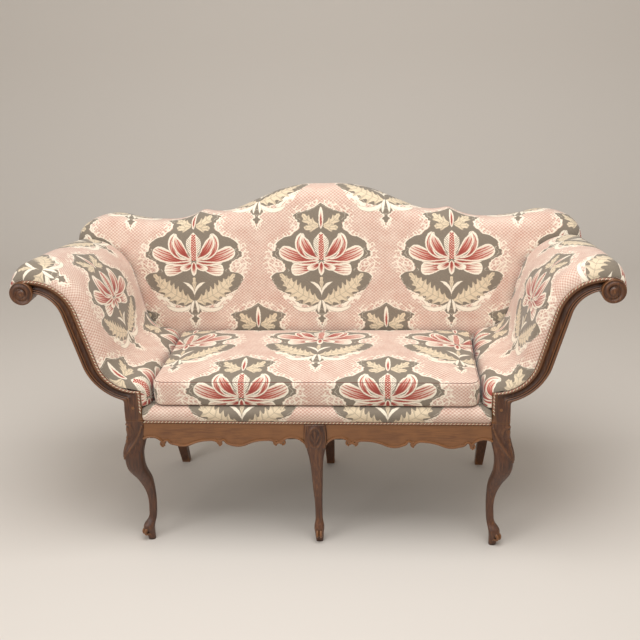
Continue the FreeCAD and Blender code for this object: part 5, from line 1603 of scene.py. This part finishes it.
class SETTEE_OT_woodwork(bpy.types.Operator):
    """Carve the scroll boards, the legs and the apron"""
    bl_idname = "settee.woodwork"
    bl_label = "Carved walnut"

    def execute(self, context):
        upright, level = (bpy.data.materials["waxed_walnut_" + way] for way in ("upright", "level"))
        for side in ("left", "right"):
            arm_board(side, upright)
            corner_leg(side, upright)
            apron(side, level)
        middle_leg(upright)
        return {"FINISHED"}


def paint(node, material):
    """Give a piece of the frame its finish."""
    mesh = frame["nodes"][node].data
    mesh.materials.clear()
    mesh.materials.append(material)


def wrap(node, material):
    """Cover a rail with the damask, laid upright on its side, where the rail shows between arm and back."""
    paint(node, material)
    mesh = frame["nodes"][node].data
    spots = np.empty(3 * len(mesh.vertices), np.float32)
    mesh.vertices.foreach_get("co", spots)
    corners = np.empty(len(mesh.loops), np.int32)
    mesh.loops.foreach_get("vertex_index", corners)
    laid = np.ascontiguousarray(spots.reshape(-1, 3)[corners][:, 1:])
    mesh.uv_layers.new(name="cloth").data.foreach_set("uv", laid.ravel())


class SETTEE_OT_hidden(bpy.types.Operator):
    """Give the hidden frame, webbing and hessian their finishes"""
    bl_idname = "settee.hidden"
    bl_label = "Hidden frame"

    def execute(self, context):
        finishes = {"beech": "planed_beech", "hessian": "jute_hessian", "webbing": "jute_webbing",
                    "dust_cloth": "black_dust_cotton", "steel": "drawn_steel",
                    "walnut": "waxed_walnut_upright"}
        for part in frame["record"]["subparts"]:
            if not frame["nodes"][part["node"]].hide_render:
                paint(part["node"], bpy.data.materials[finishes[part["material_slot"]]])
        for side in ("left", "right"):
            wrap("arm_top_rail_" + side, bpy.data.materials["woven_cotton_damask"])
        return {"FINISHED"}


# Half width, front and bend of the floor, radius of the bend, height of the backdrop
FLOOR_HALF, FLOOR_FRONT, FLOOR_BEND, BEND_RADIUS, BACKDROP_TOP = 16.0, -16.0, 2.6, 1.2, 9.0
# Lamps: name, place, what they aim at, size in metres, power in watts
LAMPS = (("ceiling_light", (0.2, -0.9, 3.2), (0.0, 0.1, 0.4), 2.2, 78.0),
         ("window_light", (-2.6, -3.0, 2.4), (0.0, 0.0, 0.6), 2.0, 42.0))
# Camera of the photo: place, then its turn, tilt and roll in degrees, and the lens for a 36 mm sensor
CAMERA_PLACE = (0.2437, -2.8511, 1.6109)
CAMERA_TURNS = (4.9465, 19.169, -1.7333)
CAMERA_LENS = 54.73


def backdrop():
    """A floor that bends up into a backdrop."""
    floor_tone, _, shader = finish("pale_floor", Roughness=0.7)
    shader.inputs["Base Color"].default_value = colour("#D9D2CA")
    turns = np.radians(np.linspace(6, 90, 14))
    rows = [(FLOOR_FRONT, 0.0), (FLOOR_BEND, 0.0)]
    rows += [(FLOOR_BEND + BEND_RADIUS * math.sin(t), BEND_RADIUS - BEND_RADIUS * math.cos(t)) for t in turns]
    rows.append((FLOOR_BEND + BEND_RADIUS, BACKDROP_TOP))
    points = [(x, y, z) for y, z in rows for x in (-FLOOR_HALF, FLOOR_HALF)]
    floor = build("floor_and_backdrop", points, quads(len(rows), 2))
    floor.data.materials.append(floor_tone)


def room_light(scene):
    """Soft light from all round."""
    world = bpy.data.worlds.new("soft_room")
    scene.world = world
    world.use_nodes = True
    around = world.node_tree.nodes["Background"]
    around.inputs[0].default_value = colour("#F2EEE8")
    around.inputs[1].default_value = 0.55


def lamp(scene, name, place, aim, size, power):
    """A square lamp that is aimed at a spot."""
    source = bpy.data.lights.new(name, "AREA")
    source.shape = "SQUARE"
    source.size = size
    source.energy = power
    light = bpy.data.objects.new(name, source)
    light.location = place
    light.rotation_euler = (Vector(aim) - Vector(place)).to_track_quat("-Z", "Y").to_euler()
    scene.collection.objects.link(light)


def camera(scene):
    """The camera that took the photo."""
    lens = bpy.data.cameras.new("photo_view")
    lens.sensor_width = 36.0
    lens.lens = CAMERA_LENS
    view = bpy.data.objects.new("photo_view", lens)
    turn, tilt, roll = (math.radians(angle) for angle in CAMERA_TURNS)
    ahead = Vector((-math.sin(turn) * math.cos(tilt), math.cos(turn) * math.cos(tilt), -math.sin(tilt)))
    right = Vector((math.cos(turn), math.sin(turn), 0.0))
    up = right.cross(ahead)
    right, up = right * math.cos(roll) + up * math.sin(roll), up * math.cos(roll) - right * math.sin(roll)
    rows = [(right[i], up[i], -ahead[i], CAMERA_PLACE[i]) for i in range(3)]
    view.matrix_world = Matrix((*rows, (0, 0, 0, 1)))
    scene.collection.objects.link(view)
    scene.camera = view


class SETTEE_OT_stage(bpy.types.Operator):
    """Set the floor, the backdrop, the lamps and the camera"""
    bl_idname = "settee.stage"
    bl_label = "Stage"

    def execute(self, context):
        scene = context.scene
        scene.view_settings.view_transform = "Standard"
        backdrop()
        room_light(scene)
        for one in LAMPS:
            lamp(scene, *one)
        camera(scene)
        return {"FINISHED"}


STEPS = (SETTEE_OT_materials, SETTEE_OT_upholstery, SETTEE_OT_cushion, SETTEE_OT_outside, SETTEE_OT_gimp,
         SETTEE_OT_woodwork, SETTEE_OT_hidden, SETTEE_OT_stage)


class SETTEE_PT_panel(bpy.types.Panel):
    """The settee's steps, in the sidebar"""
    bl_idname = "SETTEE_PT_panel"
    bl_label = "Camelback settee"
    bl_space_type = "VIEW_3D"
    bl_region_type = "UI"
    bl_category = "Settee"

    def draw(self, context):
        for step in STEPS:
            self.layout.operator(step.bl_idname)
        for group in (context.scene.settee_cloth, context.scene.settee_wood):
            for name in group.__annotations__:
                self.layout.prop(group, name)


CLASSES = (SetteeCloth, SetteeWood, *STEPS, SETTEE_PT_panel)


def register():
    """Add the settee's steps and settings to the program."""
    for one in CLASSES:
        bpy.utils.register_class(one)
    bpy.types.Scene.settee_cloth = bpy.props.PointerProperty(type=SetteeCloth)
    bpy.types.Scene.settee_wood = bpy.props.PointerProperty(type=SetteeWood)


def unregister():
    """Take them out again."""
    del bpy.types.Scene.settee_wood
    del bpy.types.Scene.settee_cloth
    for one in reversed(CLASSES):
        bpy.utils.unregister_class(one)


def main():
    """Build the settee."""
    register()
    for step in STEPS:
        group, name = step.bl_idname.split(".")
        getattr(getattr(bpy.ops, group), name)()


if __name__ == "__main__":
    main()
